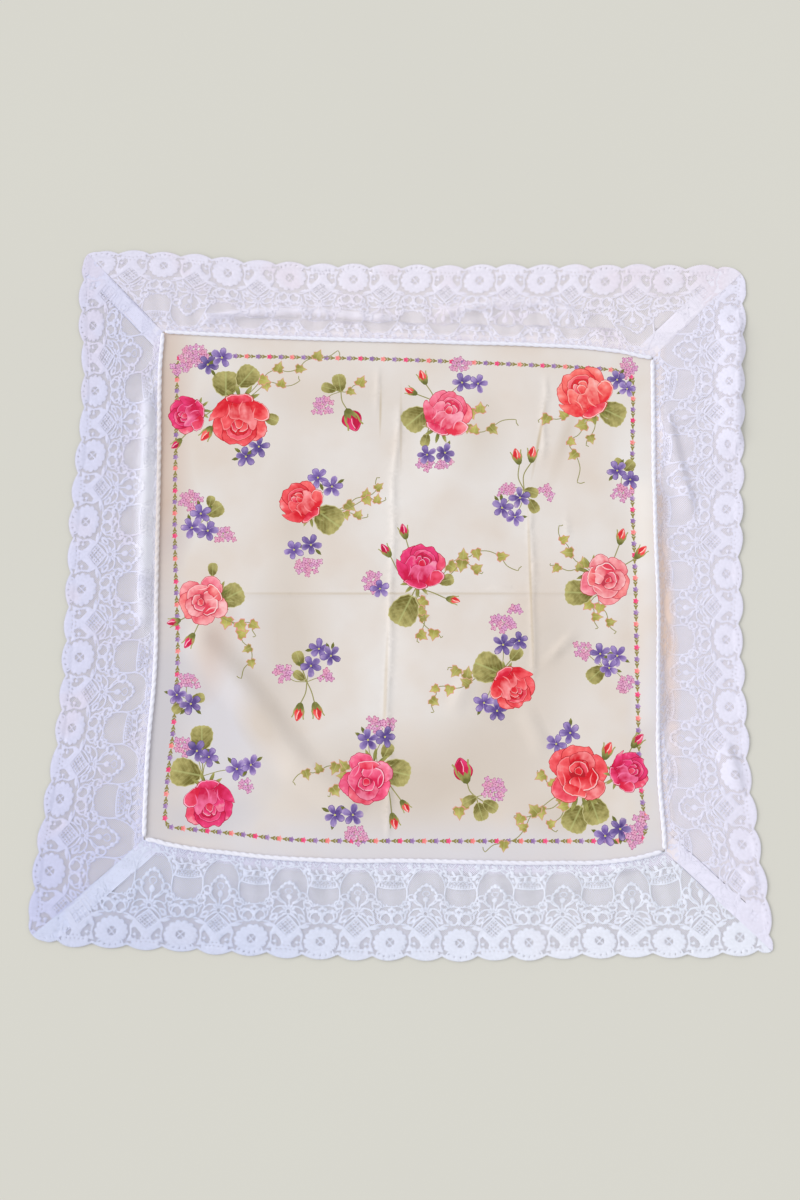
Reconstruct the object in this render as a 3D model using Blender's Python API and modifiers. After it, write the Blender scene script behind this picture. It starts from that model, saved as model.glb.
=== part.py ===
"""A square printed scarf with a wide mitred lace edging, laid out flat with its creases and soft folds.

X runs to the right and Y away from the near edge. The cloth lies on z = 0, and the origin is the
middle of the whole outline. Tables are in millimetres, and every other size is in metres.
"""

import math
from collections import namedtuple

import bmesh
import bpy
from mathutils import Vector
from mathutils.geometry import delaunay_2d_cdt

MM = 0.001

CLOTH = 0.0010  # thickness of the cloth and of the lace
GAP = 0.0003  # between pieces that touch
RIM = 0.0003  # from the seam line to the edge of the cloth, and to that of the lace
LACE_WIDTH = 0.099  # flat, from the seam to the tips of the scallops
REPEAT = 0.068  # of the lace: one medallion and one fan
NOTCH = 0.0045  # depth of the notches between scallops
LAP = 0.015  # how far a strip runs on under its neighbour at a mitre
LAP_START = 0.003  # where that lap begins, out from the seam
LAP_TIP = 0.0065  # how far the lap's outer end stays inside the scallops
LAP_MARGIN = 0.004  # how much further the upper strip stays raised
LAP_RAMP = 0.009  # over which it comes down again
MITRE_PITCH = 0.016  # points along a mitre
LAP_FOOT = LAP + LAP_MARGIN + 0.0005  # the upper strip's row of points where it starts down
LAP_PITCH = 0.011  # points along that row
SEAM_WIDTH = 0.0045
SEAM_HEIGHT = 0.0020
SEAM_CLEAR = 0.0001  # added under the seam, for the facets of the cloth
SEAM_START = 0.0037  # from the corner to the run that starts there, clear of the one that ends
SEAM_SECTION = [(-1, 0), (-0.85, 0.6), (-0.36, 1), (0.36, 1), (0.85, 0.6), (1, 0)]  # of half width, height

STATIONS = 40  # along each side of the panel
EDGE_ROW = 0.0042  # the first row of points in from a sewn edge
SCALLOP_POINTS = 4  # for each scallop
STRIP_PITCH = (0.017, 0.0105)  # lattice of a strip, along and across
PANEL_PITCH = 0.031
FOLD_PITCH = 0.018  # points along a fold
EDGE_SPACE = 0.0034  # kept free of lattice points beside an edge
POINT_SPACE = 0.0054  # kept free of them around any other point
WELD = 1e-7
HOLE_MARGIN = 0.0025  # of whole lace left beside a mitre or a row

Corner = namedtuple("Corner", "seam edge")
CORNERS = {  # millimetres: the panel's corner and the lace's corner
    "far_left": Corner((-247, 271), (-331, 360)),
    "far_right": Corner((258, 243), (359, 342)),
    "near_right": Corner((254, -257), (356, -353)),
    "near_left": Corner((-250, -246), (-359, -341)),
}

# Going round clockwise. Repeats are those of the whole outer edge, and first is the part of a
# repeat before its first medallion. Bows are how far the seam and the outer edge stand out from
# straight lines between their corners. A crimp draws up the lace's width in small puckers: takes is
# how much, around out and over spread, between two parts of the side.
Bow = namedtuple("Bow", "along seam edge")
Crimp = namedtuple("Crimp", "along_from along_to out spread takes")
Side = namedtuple("Side", "name start end repeats first bows crimps")
CRIMP_RAMP = 0.12  # part of the side over which a crimp comes and goes
SIDES = [
    Side(
        "top", "far_left", "far_right", 10.48, 0.28,
        bows=[
            Bow(0.00, 0.0, 0.0), Bow(0.12, 0.0, 0.5), Bow(0.27, 0.8, -6.5), Bow(0.48, 3.6, -7.3),
            Bow(0.63, 5.5, -4.7), Bow(0.78, 7.0, -2.0), Bow(0.93, 5.0, 0.0), Bow(1.00, 0.0, 0.0),
        ],
        crimps=[Crimp(0.08, 0.97, 28, 26, 15)],
    ),
    Side(
        "right", "far_right", "near_right", 10.36, 0.85,
        bows=[
            Bow(0.00, 0.0, 0.0), Bow(0.13, -0.8, -4.6), Bow(0.36, -2.0, -13.5),
            Bow(0.51, -0.8, -17.5), Bow(0.65, -2.5, -18.4), Bow(0.86, -3.5, -9.4),
            Bow(1.00, 0.0, 0.0),
        ],
        crimps=[Crimp(0.05, 0.95, 14, 22, 10), Crimp(0.10, 0.40, 82, 14, 4)],
    ),
    Side(
        "bottom", "near_right", "near_left", 10.65, 0.48,
        bows=[
            Bow(0.00, 0.0, 0.0), Bow(0.08, 9.5, 5.0), Bow(0.20, 13.5, 6.5), Bow(0.35, 14.7, 10.8),
            Bow(0.50, 14.8, 12.7), Bow(0.66, 15.9, 12.0), Bow(0.85, 10.5, 6.5),
            Bow(0.95, 4.5, 4.5), Bow(1.00, 0.0, 0.0),
        ],
        crimps=[Crimp(0.10, 0.80, 38, 30, 6)],
    ),
    Side(
        "left", "near_left", "far_left", 10.16, 0.95,
        bows=[
            Bow(0.00, 0.0, 0.0), Bow(0.10, 0.2, 0.0), Bow(0.19, -1.0, -5.4),
            Bow(0.33, -4.5, -12.0), Bow(0.47, -3.0, -9.8), Bow(0.62, -2.0, -7.5),
            Bow(0.77, -0.5, -9.3), Bow(0.92, 1.5, 1.5), Bow(1.00, 0.0, 0.0),
        ],
        crimps=[Crimp(0.25, 0.95, 9, 16, 8)],
    ),
]

# Millimetres. Each is a soft ridge along its route. Left and right are how far it reaches on
# either side of its crest, seen from the start of the route.
Fold = namedtuple("Fold", "name route left right height")
FOLDS = [
    Fold("press_middle", [(-14, -252), (-11, -10), (-2, 198)], 4.5, 4.5, 1.5),
    Fold("press_top", [(-24, 240), (-26, 179)], 4.0, 4.0, 1.1),
    Fold("press_right", [(130, 93), (130, -100)], 4.5, 4.5, 1.4),
    Fold("press_high", [(147, 231), (141, 124)], 4.0, 4.0, 1.2),
    Fold("press_short", [(166, 85), (167, 41)], 4.0, 4.0, 1.1),
    Fold("press_across", [(-232, -4), (240, -2)], 5.0, 5.0, 1.5),
    Fold("slant", [(-215, -38), (-175, -78), (-137, -122), (-100, -174), (-31, -222)], 12, 26, 5.0),
    Fold("wrinkle", [(137, -78), (177, -38)], 7, 9, 2.4),
    Fold("soft_middle", [(47, -130), (67, -80)], 12, 14, 2.0),
    Fold("soft_low", [(117, -110), (143, -169)], 13, 15, 2.0),
    Fold("right_hem", [(255, 120), (254, 0), (250, -150)], 7, 26, 4.6),
    Fold("right_slant", [(269, 193), (280, 135), (295, 72)], 8, 15, 4.4),
    Fold("right_rim_far", [(348, 296), (345, 220), (341, 140)], 8, 26, 4.6),
    Fold("right_rim_near", [(315, -145), (326, -180), (333, -208)], 7, 18, 4.2),
    Fold("right_rim_end", [(336, -268), (342, -300)], 7, 16, 3.6),
    Fold("far_pleat_left", [(-215, 284), (-160, 291), (-106, 293), (3, 284)], 9, 8, 5.2),
    Fold("far_pleat_right", [(29, 289), (90, 300), (143, 303), (200, 285)], 9, 9, 4.8),
    Fold("left_pleat", [(-260, 214), (-259, 80), (-257, -50)], 9, 13, 5.6),
    Fold("near_ripple_left", [(-181, -285), (-70, -297)], 10, 11, 2.8),
    Fold("near_ripple_right", [(75, -294), (180, -297)], 10, 11, 2.8),
    Fold("near_dent", [(196, -287), (212, -313)], 8, 9, 2.4),
    Fold("near_hem", [(185, -278), (236, -270)], 9, 8, 3.2),
]
FOLD_END = 0.024  # over which a ridge dies away at its ends

# The largest gaps of each repeat of the lace, in millimetres. Across is from the middle of a
# medallion and out is from the seam.
Gap = namedtuple("Gap", "name across out points")


def oval(half_width, half_height, count, turn=0.0):
    """Points around an oval, anticlockwise."""
    angles = [turn + 2 * math.pi * step / count for step in range(count)]
    return [(half_width * math.cos(a), half_height * math.sin(a)) for a in angles]


def crescent(outer, inner, outer_count, inner_count):
    """Points of a half ring that opens outwards, between radii of two ovals."""
    outside = [math.pi * step / (outer_count - 1) for step in range(outer_count)]
    inside = [math.pi * step / (inner_count - 1) for step in range(inner_count)]
    ring = [(-outer[0] * math.cos(a), -outer[1] * math.sin(a)) for a in outside]
    ring += [(inner[0] * math.cos(a), -inner[1] * math.sin(a)) for a in inside]
    return ring


HALF = REPEAT / MM / 2
URN = [(-6, 13), (-12, 6), (-13, -5), (-10, -12.5), (10, -12.5), (13, -5), (12, 6), (6, 13)]
GAPS = [
    Gap("urn", 0, 41, URN),
    Gap("arch", HALF, 28, crescent((18, 18), (11.5, 6), 5, 3)),
    Gap("loop", HALF, 36.5, oval(6.5, 10.0, 6, math.pi / 6)),
    Gap("side_left", HALF - 18, 56, oval(4.6, 5.6, 4)),
    Gap("side_right", HALF + 18, 56, oval(4.6, 5.6, 4)),
    Gap("ring_left", -6.4, 62.5, oval(4.0, 3.4, 5)),
    Gap("ring_right", 6.4, 62.5, oval(4.0, 3.4, 5, math.pi)),
]


def metres(point):
    return Vector((point[0] * MM, point[1] * MM))


def smooth(x):
    """0 up to x = 0 and 1 from x = 1, with a soft start and end."""
    x = min(max(x, 0.0), 1.0)
    return x * x * (3 - 2 * x)


def read_bow(rows, along, column):
    """A column of bows at a part of the side, on a smooth curve through the rows."""
    if not 0 < along < 1:
        return 0.0
    values = [getattr(row, column) * MM for row in rows]
    after = next(i for i, row in enumerate(rows) if row.along >= along)
    low, high = rows[after - 1].along, rows[after].along

    def slope(i):
        if i in (0, len(rows) - 1):
            return 0.0 if i else (values[1] - values[0]) / (rows[1].along - rows[0].along)
        return (values[i + 1] - values[i - 1]) / (rows[i + 1].along - rows[i - 1].along)

    s = (along - low) / (high - low)
    start = values[after - 1] + slope(after - 1) * (high - low) * s
    end = values[after] + slope(after) * (high - low) * (s - 1)
    return start + (end - start) * smooth(s)


def seam_length(side):
    """The flat length of a strip along its seam."""
    return side.repeats * REPEAT - 2 * LACE_WIDTH


def spread(side, along, out):
    """The part of a strip's width that lies inside a flat distance out from the seam."""
    total, here = LACE_WIDTH, out
    for crimp in side.crimps:
        comes = smooth((along - crimp.along_from) / CRIMP_RAMP)
        goes = smooth((crimp.along_to - along) / CRIMP_RAMP)
        takes = crimp.takes * MM * comes * goes
        total -= takes
        here -= takes * smooth((out / MM - crimp.out) / crimp.spread + 0.5)
    return here / total


def place(side, u, v):
    """Where a point of a flat strip lies: u along its seam and v out from it."""
    along = (u + v) / (seam_length(side) + 2 * v)
    across = spread(side, along, v)
    start, end = CORNERS[side.start], CORNERS[side.end]
    first = metres(start.seam).lerp(metres(start.edge), across)
    last = metres(end.seam).lerp(metres(end.edge), across)
    outward = (last - first).orthogonal().normalized()
    seam_bow = read_bow(side.bows, along, "seam")
    edge_bow = read_bow(side.bows, along, "edge")
    return first.lerp(last, along) + outward * (seam_bow + (edge_bow - seam_bow) * across)


def seam_point(side, along, out=0.0):
    """A point at a part of the seam, moved straight out from it."""
    step = 0.002
    here = place(side, along * seam_length(side), 0)
    before = place(side, max(along - step, 0) * seam_length(side), 0)
    after = place(side, min(along + step, 1) * seam_length(side), 0)
    return here + (after - before).orthogonal().normalized() * out


def ridge(fold, point):
    """The height of one fold at a point."""
    route = [metres(p) for p in fold.route]
    legs = list(zip(route, route[1:]))
    whole = sum((b - a).length for a, b in legs)
    gone, nearest = 0.0, None
    for a, b in legs:
        direction = (b - a).normalized()
        run = (point - a).dot(direction)
        foot = a + direction * min(max(run, 0), (b - a).length)
        beside = direction.cross(point - a)
        away = (point - foot).length
        if nearest is None or away < nearest[0]:
            nearest = (away, beside, gone + run)
        gone += (b - a).length
    _, beside, run = nearest
    reach = (fold.left if beside > 0 else fold.right) * MM
    side = min(abs(beside) / reach, 1)
    ends = smooth(run / FOLD_END) * smooth((whole - run) / FOLD_END)
    return fold.height * MM * 0.5 * (1 + math.cos(math.pi * side)) * ends


def cloth_height(point):
    return sum(ridge(fold, point) for fold in FOLDS)


def mitre_lift(side, point):
    """How far a strip is raised where it lies over its neighbour's end."""
    corner = CORNERS[side.end]
    direction = (metres(corner.edge) - metres(corner.seam)).normalized()
    beside = direction.cross(point - metres(corner.seam))
    return (CLOTH + GAP) * smooth(1 - (beside - LAP - LAP_MARGIN) / LAP_RAMP)


def edge_out(side, from_corner):
    """The scalloped edge's flat distance from the seam."""
    scallops = 2 * (from_corner / REPEAT - side.first)
    off_middle = 2 * abs(scallops - round(scallops))
    return LACE_WIDTH - NOTCH * off_middle**2


def steps(start, end, pitch):
    """Evenly spaced values from start up to, but without, end."""
    count = max(1, round(abs(end - start) / pitch))
    return [start + (end - start) * i / count for i in range(count)]


def scallop_row(side):
    """Flat points along the outer edge, from its start, with one at each tip and notch."""
    length = side.repeats * REPEAT
    pitch = REPEAT / 2 / SCALLOP_POINTS
    offset = (side.first * REPEAT) % pitch
    clear = 0.3 * pitch
    places = [offset + pitch * i for i in range(int(length / pitch) + 1)]
    places = [p for p in places if clear < p < length - clear]
    return [(p - LACE_WIDTH, edge_out(side, p)) for p in places]


def strip_outline(side):
    """The flat outline of a strip, anticlockwise: seam, far mitre, scallops, near mitre and lap."""
    length = seam_length(side)
    outline = [(length * i / STATIONS, RIM) for i in range(STATIONS)]
    tip = edge_out(side, side.repeats * REPEAT)
    outline += [(length + v, v) for v in steps(RIM, tip, MITRE_PITCH)]
    outline += [(length + tip, tip)]
    outline += scallop_row(side)[::-1]
    tip = edge_out(side, 0)
    lap = LAP * math.sqrt(2)
    inset = LACE_WIDTH - LAP_TIP
    outline += [(-tip, tip), (-inset, inset)]
    outline += [(-v - lap, v) for v in steps(inset - lap, LAP_START, MITRE_PITCH)]
    outline += [(-LAP_START - lap, LAP_START), (-LAP_START, LAP_START)]
    return outline


def strip_gaps(side):
    """The flat outlines of a strip's gaps, leaving out those at its mitres."""
    length = seam_length(side)
    foot = LAP_FOOT * math.sqrt(2)
    found = []
    for repeat in range(-1, int(side.repeats) + 1):
        middle = (side.first + repeat) * REPEAT - LACE_WIDTH
        for gap in GAPS:
            points = [
                (middle + (gap.across + x) * MM, (gap.out + y) * MM) for x, y in gap.points
            ]
            clear_start = min(u + v for u, v in points) > HOLE_MARGIN
            clear_end = min(length + v - u for u, v in points) > foot + HOLE_MARGIN
            if clear_start and clear_end:
                found.append(points)
    return found


def inside(outline, point):
    """Whether a point lies inside a closed outline."""
    hit = False
    for a, b in zip(outline, outline[1:] + outline[:1]):
        if (a[1] > point[1]) != (b[1] > point[1]):
            hit ^= point[0] < a[0] + (point[1] - a[1]) * (b[0] - a[0]) / (b[1] - a[1])
    return hit


def edge_distance(outline, point):
    """The distance from a point to the nearest part of a closed outline."""
    found = []
    for a, b in zip(outline, outline[1:] + outline[:1]):
        leg = b - a
        part = min(max((point - a).dot(leg) / leg.length_squared, 0), 1)
        found.append((a + leg * part - point).length)
    return min(found)


def fold_points():
    """Points on the crest, the flanks and the feet of every fold."""
    found = []
    for fold in FOLDS:
        route = [metres(p) for p in fold.route]
        for a, b in zip(route, route[1:]):
            left = (b - a).orthogonal().normalized()
            for run in steps(0, (b - a).length, FOLD_PITCH) + [(b - a).length]:
                crest = a + (b - a).normalized() * run
                for reach in (0, fold.left, -fold.right, fold.left / 2, -fold.right / 2):
                    found.append(crest + left * reach * MM)
    return found


def inner_points(outline, gaps, rows, wanted):
    """Those wanted points that lie in the cloth and clear of the rows and of each other."""
    points = []
    for point in wanted:
        if not inside(outline, point) or any(inside(gap, point) for gap in gaps):
            continue
        if any((point - other).length < POINT_SPACE for other in points + rows):
            continue
        if all(edge_distance(loop, point) > EDGE_SPACE for loop in [outline, *gaps]):
            points.append(point)
    return points


def sheet(name, outline, gaps, rows, points, height, material):
    """A sheet of cloth, 1 mm thick, on a height for each point of its plan.

    Its facets cross neither its outlines nor its rows.
    """
    corners, faces, edges = [], [], []
    for loop in [outline, *gaps]:
        faces.append(list(range(len(corners), len(corners) + len(loop))))
        corners += loop
    for row in rows:
        edges += [(len(corners) + i, len(corners) + i + 1) for i in range(len(row) - 1)]
        corners += row
    corners += points
    plan, _, triangles, _, _, parts = delaunay_2d_cdt(corners, edges, faces, 1, WELD)
    triangles = [t for t, part in zip(triangles, parts) if part == [0]]
    used = sorted({corner for t in triangles for corner in t})
    number = {corner: i for i, corner in enumerate(used)}
    shape = bpy.data.meshes.new(name)
    lifted = [(plan[c].x, plan[c].y, height(plan[c])) for c in used]
    shape.from_pydata(lifted, [], [[number[c] for c in t] for t in triangles])
    shape.shade_smooth()
    piece = bpy.data.objects.new(name, shape)
    thicken = piece.modifiers.new("thickness", "SOLIDIFY")
    thicken.thickness = CLOTH
    thicken.offset = 1
    shape.materials.append(material)
    return piece


def lace_strip(side, material):
    outline = [place(side, u, v) for u, v in strip_outline(side)]
    gaps = [[place(side, u, v) for u, v in gap] for gap in strip_gaps(side)]
    length = seam_length(side)
    sewn = [place(side, length * i / STATIONS, EDGE_ROW) for i in range(1, STATIONS)]
    bend = length - LAP_FOOT * math.sqrt(2)
    across_lap = steps(2 * EDGE_ROW, LACE_WIDTH - 2 * NOTCH, LAP_PITCH)
    foot = [place(side, bend + v, v) for v in across_lap]
    wanted = fold_points()
    along, across = STRIP_PITCH
    for v in steps(across, LACE_WIDTH, across):
        wanted += [place(side, u, v) for u in steps(-v, length + v, along)]
    points = inner_points(outline, gaps, sewn + foot, wanted)

    def height(point):
        return cloth_height(point) + mitre_lift(side, point)

    rows = [sewn, foot]
    return sheet("lace_" + side.name, outline, gaps, rows, points, height, material), len(gaps)


def panel_outline(inward, stations=STATIONS):
    """The panel's edge, anticlockwise, moved in from the seam."""
    outline = []
    for side in SIDES:
        skip = 0 if inward < EDGE_ROW else 1
        parts = [i / stations for i in range(skip, stations + 1 - skip)]
        outline += [seam_point(side, part, -inward) for part in parts]
    outline = outline[::-1]
    return [p for p, q in zip(outline, outline[1:] + outline[:1]) if (p - q).length > MM]


def panel_sheet(material):
    outline = panel_outline(RIM)
    sewn = panel_outline(EDGE_ROW)
    half = max(p.x for p in outline) + PANEL_PITCH
    lattice = steps(-half, half, PANEL_PITCH)
    wanted = fold_points() + [Vector((x, y)) for x in lattice for y in lattice]
    points = inner_points(outline, [], sewn, wanted)
    return sheet("panel", outline, [], [sewn + sewn[:1]], points, cloth_height, material)


def seam_run(side, material):
    """The corded seam along one side: a flattened cord with a level base."""
    half = SEAM_WIDTH / 2
    length = seam_length(side)
    parts = [i / STATIONS for i in range(STATIONS + 1)]
    parts[0] = SEAM_START / length
    shape = bmesh.new()
    rings = []
    for part in parts:
        here = seam_point(side, part)
        outward = (seam_point(side, part, half) - here) / half
        if part == parts[-1]:
            here += Vector((outward.y, -outward.x)) * half
        beside = [cloth_height(here + outward * out) for out in (-EDGE_ROW, 0, EDGE_ROW)]
        slope = half / EDGE_ROW
        edges = [beside[1] + (beside[i] - beside[1]) * slope for i in (0, 2)]
        base = max(beside[1], *edges) + mitre_lift(side, here + outward * half)
        base += CLOTH + GAP + SEAM_CLEAR
        ring = []
        for across, up in SEAM_SECTION:
            spot = here + outward * half * across
            ring.append(shape.verts.new((spot.x, spot.y, base + up * SEAM_HEIGHT)))
        rings.append(ring)
    for before, after in zip(rings, rings[1:]):
        for i in range(len(SEAM_SECTION)):
            j = (i + 1) % len(SEAM_SECTION)
            shape.faces.new((before[i], after[i], after[j], before[j]))
    shape.faces.new(rings[0])
    shape.faces.new(rings[-1][::-1])
    bmesh.ops.triangulate(shape, faces=shape.faces)
    bmesh.ops.recalc_face_normals(shape, faces=shape.faces)
    mesh = bpy.data.meshes.new("seam_" + side.name)
    shape.to_mesh(mesh)
    shape.free()
    mesh.materials.append(material)
    return bpy.data.objects.new("seam_" + side.name, mesh)


def cloth_material(name, colour, roughness):
    material = bpy.data.materials.new(name)
    material.use_nodes = True
    shader = material.node_tree.nodes["Principled BSDF"]
    shader.inputs["Base Color"].default_value = (*colour, 1)
    shader.inputs["Roughness"].default_value = roughness
    shader.inputs["Metallic"].default_value = 0
    return material


def main():
    for old in list(bpy.data.objects):
        bpy.data.objects.remove(old)
    scarf = bpy.data.collections.new("lace_scarf")
    bpy.context.scene.collection.children.link(scarf)
    scarf.objects.link(panel_sheet(cloth_material("printed_cloth", (0.76, 0.70, 0.64), 0.85)))
    for side in SIDES:
        white = cloth_material("lace_" + side.name, (0.72, 0.73, 0.90), 0.8)
        strip, count = lace_strip(side, white)
        print(strip.name, "has", count, "gaps")
        scarf.objects.link(strip)
        thread = cloth_material("seam_" + side.name, (0.86, 0.86, 0.95), 0.7)
        scarf.objects.link(seam_run(side, thread))


main()
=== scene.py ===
"""The looks of a square printed scarf with a wide mitred lace edging, laid out flat.

Sizes and charts are in millimetres, and go to metres where a mesh is made. Headings and turns are in
degrees, anticlockwise from the right. A strip of lace is drawn flat, u along its seam and v out from
it, and then laid on its place by place().
"""

import math
from collections import namedtuple

import bpy
import numpy as np
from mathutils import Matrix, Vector
from mathutils.geometry import delaunay_2d_cdt


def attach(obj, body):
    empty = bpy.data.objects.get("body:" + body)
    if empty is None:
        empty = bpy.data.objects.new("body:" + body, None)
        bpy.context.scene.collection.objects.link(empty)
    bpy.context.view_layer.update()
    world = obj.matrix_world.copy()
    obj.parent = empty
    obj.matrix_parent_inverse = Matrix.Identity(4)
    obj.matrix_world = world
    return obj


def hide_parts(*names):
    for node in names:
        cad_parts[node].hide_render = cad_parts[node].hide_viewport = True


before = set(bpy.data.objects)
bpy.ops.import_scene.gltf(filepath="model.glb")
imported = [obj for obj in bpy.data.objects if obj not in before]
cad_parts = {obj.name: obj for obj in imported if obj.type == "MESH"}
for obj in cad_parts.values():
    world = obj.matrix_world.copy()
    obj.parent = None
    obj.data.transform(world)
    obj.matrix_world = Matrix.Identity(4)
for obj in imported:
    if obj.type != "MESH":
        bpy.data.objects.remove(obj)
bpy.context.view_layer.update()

MM = 0.001
WELD = 1e-3  # points closer than this become one
COVERED = 1  # cuts only what the shapes cover
ROW = 0.87  # of a triangular lattice's pitch, between its rows

# The camera looks down at the cloth from 1.4 m, leaning 10 degrees towards its near edge.
IMAGE = (800, 1200)
FOCAL = 1400.0  # pixels
SENSOR = 36.0
CAMERA_DISTANCE = 1400.0
CAMERA_TILT = math.radians(10)
FRAME_OFFSET = (-2.0, -10.0)  # of the point looked at

LACE_WIDTH = 99.0
REPEAT = 68.0
HALF = REPEAT / 2
NOTCH = 4.5
LAP = 15.0
LAP_TIP = 6.5  # how far the lap's outer end stays inside the scallops
LAP_MARGIN = 4.0
LAP_RAMP = 9.0
LAP_RUN = LAP * 1.41  # how much of the seam edge the lap takes up
LIFT = 0.12  # of a strip over its neighbour
EDGE = 0.3  # from the seam line to the edges of cloth and lace

# The panel's corner, the lace's corner and how round it is
Corner = namedtuple("Corner", "seam edge radius")
CORNERS = {
    "far_left": Corner((-247, 271), (-331, 360), 11),
    "far_right": Corner((258, 243), (359, 342), 19),
    "near_right": Corner((254, -257), (356, -353), 4),
    "near_left": Corner((-250, -246), (-359, -341), 13),
}

# Going round clockwise. Repeats are those of the whole outer edge, and first is the part of a
# repeat before its first medallion. Bows are how far the seam and the outer edge stand out from
# straight lines between their corners. A crimp draws up the lace's width in small puckers: takes is
# how much, around out and over spread, between two parts of the side.
Bow = namedtuple("Bow", "along seam edge")
Crimp = namedtuple("Crimp", "along_from along_to out spread takes")
Side = namedtuple("Side", "name start end repeats first bows crimps")
CRIMP_RAMP = 0.12
SIDES = [
    Side(
        "top", "far_left", "far_right", 10.48, 0.28,
        bows=[
            Bow(0.00, 0.0, 0.0), Bow(0.12, 0.0, 0.5), Bow(0.27, 0.8, -6.5), Bow(0.48, 3.6, -7.3),
            Bow(0.63, 5.5, -4.7), Bow(0.78, 7.0, -2.0), Bow(0.93, 5.0, 0.0), Bow(1.00, 0.0, 0.0),
        ],
        crimps=[Crimp(0.08, 0.97, 28, 26, 15)],
    ),
    Side(
        "right", "far_right", "near_right", 10.36, 0.85,
        bows=[
            Bow(0.00, 0.0, 0.0), Bow(0.13, -0.8, -4.6), Bow(0.36, -2.0, -13.5),
            Bow(0.51, -0.8, -17.5), Bow(0.65, -2.5, -18.4), Bow(0.86, -3.5, -9.4),
            Bow(1.00, 0.0, 0.0),
        ],
        crimps=[Crimp(0.05, 0.95, 14, 22, 10), Crimp(0.10, 0.40, 82, 14, 4)],
    ),
    Side(
        "bottom", "near_right", "near_left", 10.65, 0.48,
        bows=[
            Bow(0.00, 0.0, 0.0), Bow(0.08, 9.5, 5.0), Bow(0.20, 13.5, 6.5), Bow(0.35, 14.7, 10.8),
            Bow(0.50, 14.8, 12.7), Bow(0.66, 15.9, 12.0), Bow(0.85, 10.5, 6.5),
            Bow(0.95, 4.5, 4.5), Bow(1.00, 0.0, 0.0),
        ],
        crimps=[Crimp(0.10, 0.80, 38, 30, 6)],
    ),
    Side(
        "left", "near_left", "far_left", 10.16, 0.95,
        bows=[
            Bow(0.00, 0.0, 0.0), Bow(0.10, 0.2, 0.0), Bow(0.19, -1.0, -5.4),
            Bow(0.33, -4.5, -12.0), Bow(0.47, -3.0, -9.8), Bow(0.62, -2.0, -7.5),
            Bow(0.77, -0.5, -9.3), Bow(0.92, 1.5, 1.5), Bow(1.00, 0.0, 0.0),
        ],
        crimps=[Crimp(0.25, 0.95, 9, 16, 8)],
    ),
]

# Each fold is a soft ridge along its route. Left and right are how far it reaches on either side of
# its crest, seen from the start of the route, and doubled is how close the net lies along the crest.
Fold = namedtuple("Fold", "name route left right height doubled", defaults=[0])
FOLDS = [
    Fold("press_middle", [
        (-14, -252), (-12, -176), (-15, -118), (-11, -52), (-12, -8),
        (-8, 58), (-9, 112), (-4, 158), (-2, 198),
    ], 4.5, 4.5, 1.5),
    Fold("press_top", [(-24, 240), (-26, 179)], 4.0, 4.0, 1.1),
    Fold("press_right", [
        (131, 93), (129, 62), (132, 24), (130, -14), (131, -58), (129, -100),
    ], 4.5, 4.5, 1.4),
    Fold("press_high", [(147, 231), (148, 206), (144, 178), (145, 150), (141, 124)], 4.0, 4.0, 1.2),
    Fold("press_short", [(166, 85), (167, 41)], 4.0, 4.0, 1.1),
    Fold("press_across", [(-232, -4), (240, -2)], 5.0, 5.0, 1.5),
    Fold("slant", [(-215, -38), (-175, -78), (-137, -122), (-100, -174), (-31, -222)], 21, 26, 4.8),
    Fold("wrinkle", [(137, -78), (177, -38)], 7, 9, 2.4),
    Fold("soft_middle", [(47, -130), (67, -80)], 12, 14, 2.0),
    Fold("soft_low", [(117, -110), (143, -169)], 13, 15, 2.0),
    Fold("right_hem", [(255, 120), (254, 0), (250, -150)], 7, 26, 4.6),
    Fold("right_slant", [(269, 193), (280, 135), (295, 72)], 8, 15, 4.4),
    Fold("right_rim_far", [(348, 296), (345, 220), (341, 140)], 8, 26, 4.6),
    Fold("right_rim_near", [(315, -145), (326, -180), (333, -208)], 7, 18, 4.2),
    Fold("right_rim_end", [(336, -268), (342, -300)], 7, 16, 3.6),
    Fold("far_pleat_left", [(-215, 284), (-160, 291), (-106, 293), (3, 284)], 9, 8, 5.2, 0.8),
    Fold("far_pleat_right", [(29, 289), (90, 300), (143, 303), (200, 285)], 9, 9, 4.8, 0.7),
    Fold("left_pleat", [(-260, 214), (-259, 80), (-257, -50)], 9, 15, 4.6, 0.8),
    Fold("near_ripple_left", [(-181, -285), (-70, -297)], 10, 11, 2.8),
    Fold("near_ripple_right", [(75, -294), (180, -297)], 10, 11, 2.8),
    Fold("near_dent", [(196, -287), (212, -313)], 8, 9, 2.4),
    Fold("near_hem", [(185, -278), (236, -270)], 9, 8, 3.2),
]
FOLD_END = 24.0  # over which a ridge dies away at its ends


def smooth(x):
    """0 up to x = 0 and 1 from x = 1, with a soft start and end."""
    x = np.clip(x, 0.0, 1.0)
    return x * x * (3 - 2 * x)


def unit(vector):
    return vector / np.linalg.norm(vector, axis=-1, keepdims=True)


def turned(vector):
    """Turned a quarter to the left."""
    return np.stack([-vector[..., 1], vector[..., 0]], axis=-1)


def heading_vector(degrees):
    return np.array([math.cos(math.radians(degrees)), math.sin(math.radians(degrees))])


def bearing(vector):
    return math.degrees(math.atan2(vector[1], vector[0]))


# The lie of the cloth


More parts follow.
